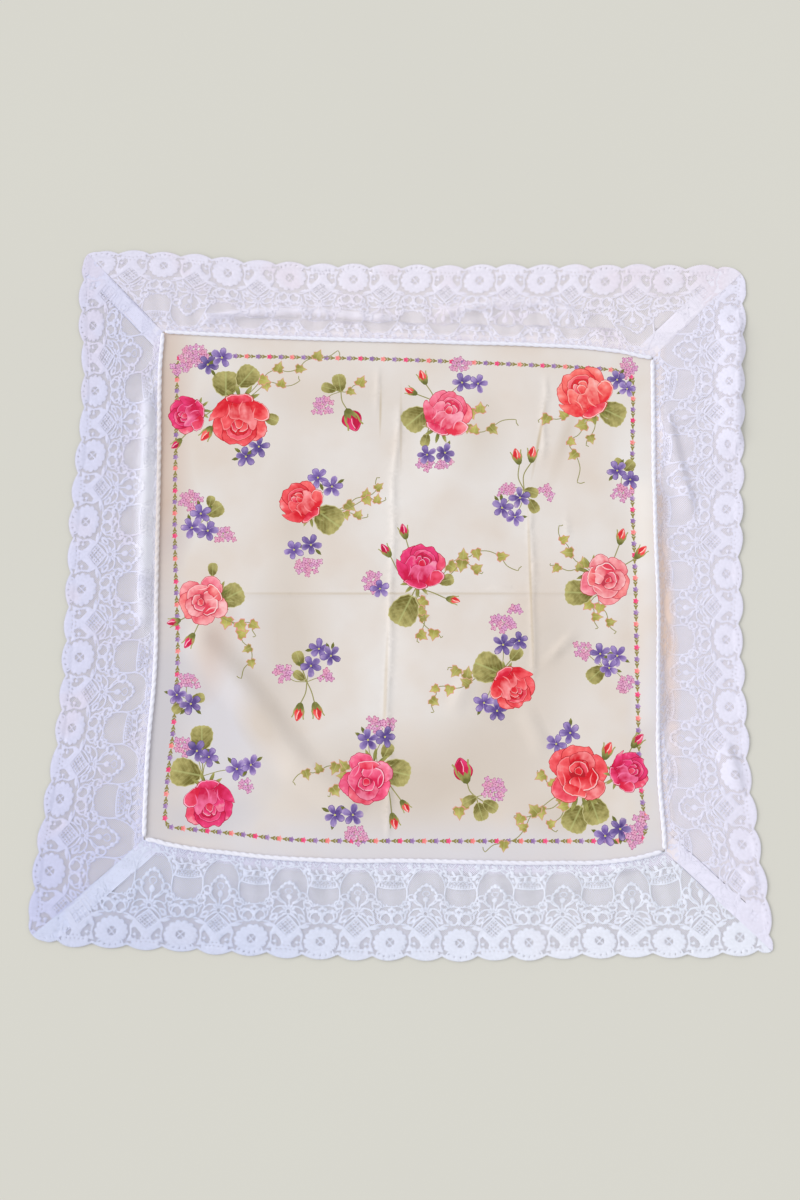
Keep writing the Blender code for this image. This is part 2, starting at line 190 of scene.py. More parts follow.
def read_bow(rows, along, column):
    """A column of bows at parts of the side, on a smooth curve through the rows."""
    places = np.array([row.along for row in rows])
    values = np.array([getattr(row, column) for row in rows], float)
    slopes = np.empty(len(rows))
    slopes[1:-1] = (values[2:] - values[:-2]) / (places[2:] - places[:-2])
    slopes[0] = (values[1] - values[0]) / (places[1] - places[0])
    slopes[-1] = 0.0
    after = np.clip(np.searchsorted(places, along), 1, len(rows) - 1)
    low, high = places[after - 1], places[after]
    s = (along - low) / (high - low)
    start = values[after - 1] + slopes[after - 1] * (high - low) * s
    end = values[after] + slopes[after] * (high - low) * (s - 1)
    found = start + (end - start) * smooth(s)
    return np.where((along > 0) & (along < 1), found, 0.0)


def seam_length(side):
    return side.repeats * REPEAT - 2 * LACE_WIDTH


def spread(side, along, out):
    """The part of a strip's width that lies inside a flat distance out from the seam."""
    total, here = LACE_WIDTH, np.array(out, float)
    for crimp in side.crimps:
        comes = smooth((along - crimp.along_from) / CRIMP_RAMP)
        goes = smooth((crimp.along_to - along) / CRIMP_RAMP)
        takes = crimp.takes * comes * goes
        total = total - takes
        here = here - takes * smooth((out - crimp.out) / crimp.spread + 0.5)
    return here / total


def place(side, flat):
    """Where points of a flat strip lie in plan."""
    u, v = flat[:, 0], flat[:, 1]
    along = (u + v) / (seam_length(side) + 2 * v)
    across = spread(side, along, v)[:, None]
    start, end = CORNERS[side.start], CORNERS[side.end]
    first = np.array(start.seam) * (1 - across) + np.array(start.edge) * across
    last = np.array(end.seam) * (1 - across) + np.array(end.edge) * across
    seam_bow = read_bow(side.bows, along, "seam")
    edge_bow = read_bow(side.bows, along, "edge")
    bow = seam_bow + (edge_bow - seam_bow) * across[:, 0]
    line = first + (last - first) * along[:, None]
    return line + turned(unit(last - first)) * bow[:, None]


def seam_point(side, along, out=0.0):
    """Points at parts of the seam, moved straight out from it."""
    step = 0.002
    along = np.asarray(along, float)

    def on_seam(part):
        u = np.clip(part, 0, 1) * seam_length(side)
        return place(side, np.stack([u, np.zeros_like(u)], axis=-1))

    outward = turned(unit(on_seam(along + step) - on_seam(along - step)))
    return on_seam(along) + outward * out


def ridge(fold, plan):
    """How near points of the plan are to a fold's crest, from 0 to 1."""
    nearest = np.full(len(plan), np.inf)
    beside, run = np.zeros(len(plan)), np.zeros(len(plan))
    gone = 0.0
    route = np.array(fold.route, float)
    for a, b in zip(route, route[1:]):
        length = np.linalg.norm(b - a)
        direction = (b - a) / length
        along = (plan - a) @ direction
        foot = a + np.clip(along, 0, length)[:, None] * direction
        away = np.linalg.norm(plan - foot, axis=1)
        closer = away < nearest
        nearest = np.where(closer, away, nearest)
        beside = np.where(closer, (plan - a) @ turned(direction), beside)
        run = np.where(closer, gone + along, run)
        gone += length
    reach = np.where(beside > 0, fold.left, fold.right)
    ends = smooth(run / FOLD_END) * smooth((gone - run) / FOLD_END)
    return 0.5 * (1 + np.cos(np.pi * np.minimum(abs(beside) / reach, 1))) * ends


# Gentle swells of the whole cloth: heading, length of a wave, height and offset.
Swell = namedtuple("Swell", "heading length height offset")
SWELLS = [
    Swell(12, 171, 0.20, 0.7), Swell(-38, 118, 0.16, 2.1), Swell(63, 143, 0.16, 4.0),
    Swell(100, 96, 0.12, 1.1), Swell(-74, 69, 0.10, 5.2), Swell(31, 57, 0.08, 3.3),
    Swell(3, 41, 0.06, 0.4), Swell(84, 35, 0.05, 2.6),
]
SWELL_BASE = 0.9  # keeps the swells above the floor


def swell(plan):
    found = np.full(len(plan), SWELL_BASE)
    for wave in SWELLS:
        heading = math.radians(wave.heading)
        along = plan @ np.array([math.cos(heading), math.sin(heading)])
        found += wave.height * np.sin(2 * math.pi * along / wave.length + wave.offset)
    return found


def lay(plan, rise=0.0):
    """Points in space, in millimetres, for points of the plan at a rise above the cloth."""
    height = swell(plan)
    for fold in FOLDS:
        height = height + fold.height * ridge(fold, plan)
    return np.column_stack([plan, height + rise])


def mitre_lift(side, plan):
    """How far a strip is raised where it lies over its neighbour's end."""
    corner = CORNERS[side.end]
    seam = np.array(corner.seam, float)
    direction = unit(np.array(corner.edge, float) - seam)
    beside = (plan - seam) @ turned(direction)
    return LIFT * smooth(1 - (beside - LAP - LAP_MARGIN) / LAP_RAMP)


# Small waves across the lace, where it is sewn on a little full. They die away over the foot and the
# ends of a strip, and between two distances out.
PUCKER = 0.55
PUCKER_LENGTH = 23.0
PUCKER_FOOT = 12.0
PUCKER_ENDS = 30.0
PUCKER_OUT = (38.0, 78.0)

UNDER_DROP = 0.12  # of a strip's end under its neighbour
UNDER_RAMP = 12.0
OVER_RAMP = 8.0
PRESSED = 0.6  # how much thinner the work is there
STRAY = 0.4
STRAY_FOOT = 15.0


def mitre_parts(side, flat):
    """How near points of a strip are to its end that lies under, and to the one that laps over."""
    u, v = flat[:, 0], flat[:, 1]
    under = smooth(1 - (u + v) / UNDER_RAMP)
    over = smooth(1 - (seam_length(side) - u + v) / (LAP_RUN + OVER_RAMP))
    return under, over


def stray(plan):
    """How far the lace is pulled out of true here and there."""
    x, y = plan[:, 0], plan[:, 1]
    right = np.sin(y / 11 + x / 23) + np.sin(x / 7 - y / 31)
    back = np.sin(x / 12 - y / 27) + np.sin(y / 8 + 2)
    return STRAY * np.column_stack([right, back])


def lay_lace(side, flat, body, work):
    """Points of a strip in space, at the rise of its net and of the work over the net."""
    plan = place(side, flat)
    u, v = flat[:, 0], flat[:, 1]
    under, over = mitre_parts(side, flat)
    rise = body - UNDER_DROP * under + work * (1 - PRESSED * np.maximum(under, over))
    wave = np.sin(2 * math.pi * u / PUCKER_LENGTH + 0.05 * v + 1.3 * np.sin(u / 31))
    ends = smooth((u + v) / PUCKER_ENDS) * smooth((seam_length(side) - u + v - LAP_RUN) / PUCKER_ENDS)
    fades, gone = PUCKER_OUT
    pucker = PUCKER * wave * smooth(v / PUCKER_FOOT) * smooth((gone - v) / (gone - fades)) * ends
    plan_there = plan + stray(plan) * smooth(v / STRAY_FOOT)[:, None]
    return lay(plan_there, rise + mitre_lift(side, plan) + pucker)


# Flat shapes. Where several lie over each other, the last one counts: cloth or a hole.

Shape = namedtuple("Shape", "outline solid")


def area(outline):
    x, y = outline[:, 0], outline[:, 1]
    return 0.5 * float(np.sum(x * np.roll(y, -1) - y * np.roll(x, -1)))


def cut_shapes(shapes, loose):
    """Triangles over the cloth of a pile of shapes, with the number of each one's top shape."""
    corners, faces = [], []
    for shape in shapes:
        outline = shape.outline if area(shape.outline) > 0 else shape.outline[::-1]
        faces.append(list(range(len(corners), len(corners) + len(outline))))
        corners += [Vector(p) for p in outline.tolist()]
    corners += [Vector(p) for p in loose.tolist()]
    plan, _, triangles, _, _, covers = delaunay_2d_cdt(corners, [], faces, COVERED, WELD)
    tops = [max(cover) if cover else -1 for cover in covers]
    kept = [i for i, top in enumerate(tops) if top >= 0 and shapes[top].solid]
    triangles = np.array([triangles[i] for i in kept])
    tops = np.array([tops[i] for i in kept])
    used, numbers = np.unique(triangles, return_inverse=True)
    plan = np.array([plan[i][:] for i in used])
    return plan, numbers.reshape(triangles.shape), tops


def on_edge(count, triangles):
    """Which of the points lie on the edge of the cloth or of a hole."""
    pairs = np.concatenate([triangles[:, [0, 1]], triangles[:, [1, 2]], triangles[:, [2, 0]]])
    pairs.sort(axis=1)
    pairs, times = np.unique(pairs, axis=0, return_counts=True)
    edge = np.zeros(count, bool)
    edge[pairs[times == 1].ravel()] = True
    return edge


def lattice(low, high, pitch):
    """Points of a triangular lattice over a box."""
    rows = np.arange(low[1], high[1], pitch * ROW)
    found = []
    for i, y in enumerate(rows):
        xs = np.arange(low[0] + pitch * 0.5 * (i % 2), high[0], pitch)
        found.append(np.column_stack([xs, np.full(len(xs), y)]))
    return np.concatenate(found)


def add(name, data):
    """An object of the scene."""
    made = bpy.data.objects.new(name, data)
    bpy.context.scene.collection.objects.link(made)
    return made


def mesh_piece(name, points, triangles, attributes=(), face_kinds=None):
    """A smooth mesh from points in millimetres, with named vectors or colours for its shader."""
    mesh = bpy.data.meshes.new(name)
    mesh.from_pydata((points * MM).tolist(), [], triangles.tolist())
    mesh.shade_smooth()
    for label, domain, values in attributes:
        layer = mesh.attributes.new(label, "FLOAT_VECTOR", domain)
        layer.data.foreach_set("vector", np.asarray(values, np.float32).ravel())
    if face_kinds is not None:
        mesh.polygons.foreach_set("material_index", face_kinds.astype(np.int32))
    return add(name, mesh)


# The lace, drawn for one repeat. x is from the middle of a column and d is in from the tips. The
# medallion's column is at x = 0, and the fan's is half a repeat further on.


def arc(middle, radii, start, end, count):
    angles = np.radians(np.linspace(start, end, count))
    return np.column_stack([middle[0] + radii[0] * np.cos(angles), middle[1] + radii[1] * np.sin(angles)])


def oval(middle, radii, count):
    return arc(middle, radii, 0, 360, count + 1)[:-1]


def around(count):
    return np.linspace(0, 2 * np.pi, count, endpoint=False)


def polar(angles, reach):
    """An outline around the origin."""
    return np.column_stack([np.cos(angles), np.sin(angles)]) * reach[:, None]


def rotated(points, degrees):
    turn = math.radians(degrees)
    return points @ np.array([[math.cos(turn), math.sin(turn)], [-math.sin(turn), math.cos(turn)]])


def scaled(points, middle, by):
    return middle + (points - middle) * by


def mirrored(points):
    return np.asarray(points, float) * [-1, 1]


def across_axis(half):
    """A path from left to right, from its right half, which starts on the axis."""
    return np.vstack([mirrored(half)[:0:-1], half])


def curve(points, pitch, closed=False):
    """An even, smooth curve through points."""
    points = np.asarray(points, float)
    if closed:
        padded = np.vstack([points[-1:], points, points[:2]])
    else:
        padded = np.vstack([2 * points[0] - points[1], points, 2 * points[-1] - points[-2]])
    found = []
    for i in range(1, len(padded) - 2):
        p0, p1, p2, p3 = padded[i - 1 : i + 3]
        count = max(1, round(np.linalg.norm(p2 - p1) / pitch))
        t = (np.arange(count) / count)[:, None]
        bend = 2 * p0 - 5 * p1 + 4 * p2 - p3
        rest = 3 * p1 - p0 - 3 * p2 + p3
        found.append(0.5 * (2 * p1 + (p2 - p0) * t + bend * t**2 + rest * t**3))
    if not closed:
        found.append(points[-1:])
    return np.vstack(found)


def ribbon(points, width):
    """The outline of a thread of some width along a path."""
    ahead = np.gradient(points, axis=0)
    side = turned(unit(ahead)) * width / 2
    cap = unit(ahead[[0, -1]]) * width * 0.3
    return np.vstack([points[0] - cap[0], points - side, points[-1] + cap[1], (points + side)[::-1]])


def leaf(middle, heading, length, width, count=10):
    """The outline of a lens-shaped leaf."""
    t = np.linspace(0, 1, count // 2 + 1)
    half = width / 2 * np.sin(np.pi * t) ** 0.8
    along = length * (t - 0.5)
    shape = np.vstack([np.column_stack([along, half]), np.column_stack([along, -half])[-2:0:-1]])
    return rotated(shape, heading) + middle


class Chart:
    """One repeat's shapes: cloth, then holes, then threads over both."""

    def __init__(self):
        self.cloth, self.holes, self.threads, self.spines = [], [], [], []

    def patch(self, outline):
        self.cloth.append(np.asarray(outline, float))

    def hole(self, outline):
        self.holes.append(np.asarray(outline, float))

    def dot(self, middle, radius, count=9):
        self.threads.append(oval(middle, (radius, radius), count))
        self.spines.append(np.array([middle], float))

    def blade(self, middle, heading, length, width):
        self.threads.append(leaf(middle, heading, length, width))
        self.spines.append(np.array([middle], float))

    def thread(self, points, width, pitch=1.5):
        path = curve(points, pitch)
        self.threads.append(ribbon(path, width))
        if width > 0.9:
            self.spines.append(path[1:-1])

    def ring(self, middle, radii, width, count=18):
        path = arc(middle, radii, 0, 360, count + 1)
        half = count // 2 + 1
        self.threads.append(ribbon(path[: half + 1], width))
        self.threads.append(ribbon(np.vstack([path[half:], path[1:2]]), width))
        self.spines.append(path[:-1])

    def both(self, call, points, *sizes):
        """The same on the right and on the left."""
        call(points, *sizes)
        call(mirrored(points), *sizes)

    def pair(self, *rows):
        """Dots, rings and blades on both sides. Each row is what to draw, x, d and its sizes."""
        for sign in (-1, 1):
            for call, x, d, *sizes in rows:
                if call == self.blade:
                    sizes[0] *= sign
                call((sign * x, d), *sizes)


MEDALLION = (0, 16.5)
MEDALLION_RADII = np.array([16.8, 14.3])
PETALS = 14
EYELET = 4.4
BAND = 1.9  # the thread band along the scallops
BAND_LAP = 0.3  # how far the cloth runs under it
THREAD = 1.7


def scallop(x):
    """How deep the edge lies at a distance from the middle of a scallop."""
    return NOTCH * (2 * np.abs(x) / HALF) ** 2


def medallion_chart():
    """The medallion, the bow over it and the urn, about the medallion's axis."""
    chart = Chart()
    angles = around(6 * PETALS)
    crinkle = 0.87 + 0.13 * np.abs(np.cos(PETALS / 2 * angles)) ** 0.6
    chart.patch(polar(angles, crinkle) * MEDALLION_RADII + MEDALLION)
    foot = np.linspace(-14, 14, 9)
    low = np.column_stack([foot, scallop(foot) + BAND - BAND_LAP])
    chart.patch(np.vstack([low, [(12, 8), (-12, 8)]]))
    for angle in range(-151, -28, 20):
        spot = arc(MEDALLION, MEDALLION_RADII * 0.97, angle, angle, 1)[0]
        chart.hole(leaf(spot, angle + 25, 2.6, 0.9, 6))
    chart.hole(oval(MEDALLION, (EYELET, EYELET), 18))
    for turn in (45, 135):
        chart.thread(arc(MEDALLION, (EYELET + 0.5, EYELET + 0.5), turn, turn + 180, 2), 1.2, 4)
    chart.both(chart.patch, leaf(np.array([17.2, 30.2]), -8, 13.5, 3.8))
    chart.pair(
        (chart.ring, 6.0, 38.8, (5.3, 5.2), 1.8), (chart.blade, 7.8, 36.0, 42, 5.4, 2.4),
        (chart.dot, 2.0, 42.6, 2.2), (chart.dot, 2.7, 46.4, 1.8), (chart.blade, 5.4, 44.6, 28, 5.2, 2.4),
    )
    for d, radius in ((40.3, 2.0), (48.0, 1.9), (35.0, 1.5)):
        chart.dot((0, d), radius)
    chart.both(chart.thread, [(11.4, 37.0), (13.6, 38.8), (14.2, 42.0), (12.6, 44.6), (9.8, 45.0)], 1.8)
    chart.both(chart.thread, [(12.0, 46.6), (14.8, 47.4), (16.2, 45.4), (15.0, 43.6)], 1.6)
    chart.pair((chart.dot, 9.4, 44.8, 2.0), (chart.dot, 10.8, 36.4, 1.7))
    chart.both(chart.thread, [(10.3, 33.6), (14.5, 33.2), (19.5, 31.0), (23, 29.2)], THREAD)
    chart.thread(across_axis([(0, 50.0), (6, 50.2), (10.6, 48.8)]), 1.4)
    for x in (-8.6, -5.4, 5.4, 8.6):
        chart.dot((x, 51.2), 1.25, 8)
    wall = [
        (10.6, 48.8), (13.4, 53.2), (15.2, 59), (15.8, 65), (15.5, 70.5), (14.2, 75), (11.6, 79.2),
        (8.8, 83),
    ]
    chart.both(chart.thread, wall, THREAD)
    chart.thread(across_axis([(0, 72.6), (4.5, 72.8), (9.5, 73.4), (14.4, 74.6)]), 1.8)
    for x in np.linspace(-12.5, 12.5, 10):
        chart.dot((x, 74.6 + 0.009 * x * x), 1.2, 8)
    for x in (-8.4, -4.2, 0, 4.2, 8.4):
        chart.ring((x, 77.9), (1.8, 1.5), 0.75, 10)
    chart.thread(across_axis([(0, 80.4), (5, 80.3), (11, 80)]), 1.1)
    return chart


def fan_chart():
    """The fan, the diamond net, the flower and the looped oval, about the fan's axis."""
    chart = Chart()
    bottom = np.linspace(-13.5, 13.5, 13)
    shell = np.column_stack([bottom, scallop(bottom) + BAND - BAND_LAP])
    top = across_axis([(0, 20.2), (2.4, 17.2), (5.0, 13.8), (9.6, 12.4), (13.2, 8.6)])
    chart.patch(np.vstack([shell, top[::-1]]))
    for x, d in [(0, 8.2), (4.2, 7.6), (8.3, 7.6), (2.1, 11.2), (6.2, 10.6)]:
        for sign in (-1, 1) if x else (1,):
            chart.hole(oval((sign * x, d), (0.75, 0.55), 6))
    shoulder = [
        (18.6, 7.0), (15.4, 14.6), (16.6, 22.6), (13.0, 29.4), (9.4, 28.5), (0, 19.2), (4.2, 12.6),
        (12.6, 8.2),
    ]
    chart.both(chart.patch, shoulder)
    bird = [
        (13.8, 12.4), (13.8, 16.6), (14.2, 20.4), (11.2, 22.2), (9.0, 20.0), (6.2, 17.2), (4.6, 13.6),
        (6.0, 10.4), (8.6, 9.6), (10.2, 12.2), (12.2, 10.8),
    ]
    chart.both(chart.hole, bird)
    chart.both(chart.thread, [(14.2, 14.6), (12.0, 15.0), (9.6, 14.2)], 1.3)
    chart.pair((chart.dot, 10.6, 14.8, 1.7))
    diamond = np.array([(0, 19.4), (11.6, 29.2), (0, 39.2), (-11.6, 29.2)])
    chart.hole(diamond)
    edge = unit(np.array([(11.6, 9.9), (-11.6, 9.9)]))
    span, pitch = 15.2, 2.9
    for direction, other in (edge, edge[::-1]):
        for step in np.arange(pitch * 0.62, span, pitch):
            foot = diamond[0] + other * step
            chart.thread([foot, foot + direction * span], 1.1, 5)
    for i in range(4):
        chart.thread(diamond[[i, (i + 1) % 4]], THREAD, 3)
    chart.both(chart.thread, [(2.2, 40.6), (7.6, 37.8), (11.6, 33.6), (13.6, 29.2)], THREAD)
    chart.both(chart.patch, leaf(np.array([13.8, 37.6]), -38, 11.5, 6.8))
    chart.both(chart.hole, leaf(np.array([13.6, 37.8]), -38, 5.4, 1.7))
    chart.both(chart.thread, [(8.6, 40.9), (5.6, 42.4)], THREAD)
    flower = np.array([0, 42.8])
    chart.ring(flower, (2.5, 2.5), 1.6, 12)
    for angle in (-32, 0, 32, 62, 90, 118, 148, 180, 212):
        chart.blade(flower + 5.3 * heading_vector(angle), angle, 5.2, 2.7)
    chart.pair(
        (chart.ring, 19.0, 51.6, (4.4, 4.4), 1.8), (chart.dot, 19.6, 52.2, 1.5),
        (chart.dot, 16.0, 53.4, 2.4), (chart.dot, 21.6, 55.4, 1.5),
        (chart.ring, 13.1, 61.6, (3.8, 3.8), 1.9, 16), (chart.dot, 13.8, 57.8, 2.3),
        (chart.dot, 10.4, 58.8, 1.4), (chart.dot, 20.4, 46.6, 1.6),
        (chart.blade, 23.0, 44.2, 60, 5.0, 2.3),
    )
    for path in (
        [(3.8, 47.4), (8.2, 47.6), (12.4, 46.2), (15.4, 43.0), (16.4, 40.4)],
        [(16.2, 48.4), (14.8, 45.6)],
        [(3.0, 49.8), (7.4, 52.2), (10.6, 55.4), (11.6, 58.0)],
        [(16.6, 55.2), (15.6, 57.6)],
        [
            (3.2, 51.0), (7.0, 54.0), (9.6, 58.6), (10.2, 64.0), (9.0, 68.6), (6.2, 71.0), (4.4, 74.4),
            (0, 76.0),
        ],
    ):
        chart.both(chart.thread, path, THREAD)
    crown = across_axis([(0, 76.2), (3.6, 75.2), (6.4, 71.2), (9.4, 67.6), (10.0, 62.6)])
    for i, spot in enumerate(crown):
        chart.dot(spot, 1.7 if i % 2 else 2.3)
    chart.blade((0, 58.6), 90, 8.4, 5.6)
    chart.both(chart.thread, [(1.2, 63.4), (3.4, 66.0), (2.4, 69.0), (0, 69.6)], 1.1)
    chart.thread([(0, 50.2), (0, 55)], 1.4)
    arch = [(18.4, 64.5), (18.5, 72), (16.8, 79.8), (12.0, 87.2), (5.4, 91.6), (0, 92.6)]
    chart.both(chart.thread, arch, 1.4)
    return chart


def inner_chart():
    """The dense inner band, about the medallion's axis: a vine with leaves and small flowers."""
    chart = Chart()

    def vine(x):
        return 88.4 - 4.0 * np.cos(2 * np.pi * x / REPEAT) + 1.6 * np.cos(6 * np.pi * x / REPEAT)

    xs = np.linspace(-HALF, HALF, 27)
    chart.thread(np.column_stack([xs, vine(xs)]), 1.5, 2.6)
    leaves = ((3.4, 83.4, 70), (12.4, 83.2, 40), (15.4, 80.6, 75), (16.2, 85.6, 20), (20.4, 88.4, -15))
    chart.pair(*[(chart.blade, *row, 5.6, 2.6) for row in leaves])
    for i, x in enumerate(np.linspace(-HALF + 2.0, HALF - 2.0, 16)):
        up = 1 if i % 2 else -1
        if abs(x) > 24 and up < 0:
            continue
        lean = 52 if i % 2 else -58
        spot = np.array([x + 1.2, vine(x) + up * 2.8])
        chart.blade(spot, lean, 6.6, 3.1)
    for middle in ((0, 92.6), (HALF - 0.5, 95.2), (-17, 94.4), (17, 94.4)):
        for angle in range(0, 360, 72):
            spot = np.array(middle) + 2.2 * heading_vector(angle)
            chart.dot(spot, 1.35, 7)
    for x in (-25, -9, 9, 25):
        chart.thread([(x - 4.4, 97.2), (x, 92.4), (x + 4.4, 97.2)], 1.0, 2)
        chart.thread([(x - 2.0, 97.2), (x, 94.9), (x + 2.0, 97.2)], 0.8, 2)
    chart.thread([(-HALF, 97.6), (0, 97.6), (HALF, 97.6)], 1.2, 5)
    return chart


PICOT_PITCH = 1.7
PICOT = 1.0
RIM_OUT = 0.3  # of the band past the scallops
CORNER_OUT = 0.8  # of the band past a rounded corner
CORNER_DEPTH = 1.5  # of the rim where it turns
CORNER_BLEND = 12.0


def rim_depth(side, run):
    """How deep the outer edge lies in from the tips, which evens out towards the corners."""
    from_tip = (run / HALF - 2 * side.first + 0.5) % 1 - 0.5
    found = scallop(from_tip * HALF)
    for corner, gone in ((side.start, run), (side.end, side.repeats * REPEAT - run)):
        near = smooth(1 - (gone - CORNER_DEPTH - CORNERS[corner].radius) / CORNER_BLEND)
        found = found + (CORNER_DEPTH - found) * near
    return found


def outer_band(side):
    """The picot edge, a band of threads along the whole scalloped rim, as a flat outline."""
    count = int(side.repeats * REPEAT / (PICOT_PITCH / 2))
    run = np.linspace(0, side.repeats * REPEAT, count)
    edge = rim_depth(side, run)
    out = LACE_WIDTH - edge + RIM_OUT + PICOT * (np.arange(count) % 2)
    rim = np.column_stack([run - LACE_WIDTH, out])
    inner = np.column_stack([run - LACE_WIDTH, LACE_WIDTH - edge - BAND])[::2]
    return np.vstack([rim, inner[::-1]])


def to_strip(points, middle):
    """From a chart to a flat strip."""
    return np.column_stack([points[:, 0] + middle, LACE_WIDTH - points[:, 1]])


def corner_arc(side, at_end, inset=0.0):
    """The rounded corner of a strip, from its outer edge to the mitre."""
    radius = CORNERS[side.end if at_end else side.start].radius
    middle = LACE_WIDTH - CORNER_DEPTH - radius
    reach = radius + CORNER_OUT - inset
    bend = arc((middle, middle), (reach, reach), 92, 43, 9)
    return bend + [seam_length(side), 0] if at_end else bend * [-1, 1]


FAR = 400.0  # well past any strip
OVERSHOOT = 8.0  # of the cuts past the tips of the lace
TIP_SLANT = 40.0
CORNER_PAST = 20.0


def beyond(side):
    """Outlines of all that lies past a strip's mitres, lap, seam edge and rounded corners."""
    length, lap = seam_length(side), LAP * math.sqrt(2)
    top = LACE_WIDTH + OVERSHOOT
    start = [(-lap, -1), (-lap - top, top), (-lap - top - FAR, top), (-lap - FAR, -1)]
    end = [(length - 1, -1), (length + FAR, -1), (length + top + FAR, top), (length + top, top)]
    seam = [(-FAR, EDGE), (-FAR, -FAR), (length + FAR, -FAR), (length + FAR, EDGE)]
    tip = LACE_WIDTH - LAP_TIP
    high = tip + TIP_SLANT
    lap_tip = [(-tip, -1), (-tip, tip), (-high, high), (-FAR, high), (-FAR, -1)]
    outer = LACE_WIDTH + CORNER_PAST
    corners = []
    for at_end, reach in ((True, length + outer), (False, -outer)):
        bend = corner_arc(side, at_end)
        corners.append(np.vstack([bend, [(reach, outer - 4), (bend[0, 0], outer)]]))
    return [np.array(p, float) for p in (start, end, seam, lap_tip, *corners)]


def lace_shapes(side):
    """All the work of a strip as flat shapes, and points along the middles of its threads."""
    corners = [ribbon(corner_arc(side, at_end, BAND / 2), BAND) for at_end in (True, False)]
    cloth, holes, threads, spines = [], [], [outer_band(side), *corners], []
    charts = ((medallion_chart(), 0), (fan_chart(), HALF), (inner_chart(), 0))
    for i in range(-1, int(side.repeats) + 2):
        for chart, shift in charts:
            middle = (side.first + i) * REPEAT - LACE_WIDTH + shift
            sources = (chart.cloth, chart.holes, chart.threads, chart.spines)
            for source, kept in zip(sources, (cloth, holes, threads, spines)):
                kept += [to_strip(points, middle) for points in source]
    shapes = [Shape(p, True) for p in cloth] + [Shape(p, False) for p in holes]
    shapes += [Shape(p, True) for p in threads] + [Shape(p, False) for p in beyond(side)]
    return shapes, np.vstack(spines)


# The print, drawn in painter's order on the plan of the cloth


def from_image(px, py):
    """The point of the cloth that the camera sees at a pixel."""
    x, y = (px - IMAGE[0] / 2) / FOCAL, (IMAGE[1] / 2 - py) / FOCAL
    lean, upright = math.sin(CAMERA_TILT), math.cos(CAMERA_TILT)
    ray = (x, lean + y * upright, y * lean - upright)
    reach = -CAMERA_DISTANCE * upright / ray[2]
    seen = np.array([reach * ray[0], -CAMERA_DISTANCE * lean + reach * ray[1]])
    return seen + FRAME_OFFSET


# Colours as sRGB: the lit part of a petal or leaf, its deep part and its rim
Ink = namedtuple("Ink", "light deep rim")
INKS = {
    "red": Ink((249, 98, 104), (219, 20, 40), (253, 200, 198)),
    "coral": Ink((254, 128, 120), (236, 46, 56), (254, 212, 204)),
    "salmon": Ink((252, 166, 170), (229, 66, 88), (254, 220, 220)),
    "blush": Ink((251, 132, 158), (229, 50, 88), (254, 212, 220)),
    "pink": Ink((248, 104, 144), (222, 30, 84), (253, 204, 216)),
    "magenta": Ink((238, 62, 124), (206, 10, 70), (252, 190, 210)),
    "violet": Ink((160, 136, 200), (92, 70, 146), (182, 164, 210)),
    "lilac": Ink((253, 230, 244), (219, 158, 200), (158, 84, 138)),
    "orchid": Ink((254, 232, 238), (228, 160, 188), (174, 86, 128)),
    "leaf": Ink((188, 178, 112), (114, 105, 46), (194, 186, 130)),
    "ivy": Ink((211, 200, 114), (172, 163, 76), (226, 142, 134)),
    "calyx": Ink((164, 160, 90), (106, 108, 48), (106, 108, 48)),
    "hot_pink": Ink((246, 108, 152), (234, 64, 118), (246, 108, 152)),
    "pale_violet": Ink((169, 148, 203), (122, 100, 172), (180, 164, 210)),
    "mauve": Ink((184, 152, 198), (146, 110, 168), (184, 152, 198)),
    "pale_coral": Ink((252, 166, 160), (242, 122, 124), (250, 170, 154)),
}

STALK = (152, 147, 90)
BORDER_LEAF = (144, 134, 72)
VIOLET_EYE = (206, 198, 118)
VIOLET_LINE = (60, 45, 110)

# One printed shape: its outline, what it is, its two colours, and the box that its shading runs in,
# as a middle, the way along it and the way across it.
Print = namedtuple("Print", "outline kind light deep middle along across")
KINDS = ["cloth", "petal", "leaf", "line"]

# Where a print lies: its base, the way that it points, its length and its width
Lie = namedtuple("Lie", "base heading length width")
CONTOUR = 1.1  # by which a petal's contour is longer and wider than the petal


def line(found, outline, colour, kind="line"):
    """A print in one colour."""
    nowhere = np.zeros(2)
    found.append(Print(outline, kind, colour, colour, nowhere, nowhere, nowhere))


def wash(found, kind, outline, ink, lie):
    """A print that goes from deep to light along where it lies."""
    along = heading_vector(lie.heading)
    box = (lie.base, along / lie.length, turned(along) / lie.width)
    found.append(Print(outline, kind, ink.light, ink.deep, *box))


def put_at(points, lie):
    """Points of a unit shape, along and across, put on the cloth."""
    along = heading_vector(lie.heading)
    return lie.base + points[:, :1] * along * lie.length + points[:, 1:] * turned(along) * lie.width


def outlined(found, kind, form, middle, by, ink, edge, lie):
    """A unit shape over its contour, which is scaled from a middle."""
    line(found, put_at(scaled(form, middle, by), lie), edge)
    wash(found, kind, put_at(form, lie), ink, lie)


def blend(colour, other, part):
    return np.asarray(colour) * (1 - part) + np.asarray(other) * part


def mixed(ink, other, part):
    return Ink(*blend(ink, other, part))


def hundredths(points):
    return np.array(points) / 100


def drawn(points, middle, size, turn, side=1):
    """Points of a drawing put on the cloth: x across it and y towards its turn, in parts of its size."""
    up = heading_vector(turn)
    return middle + size * (points[:, :1] * -turned(up) * side + points[:, 1:] * up)


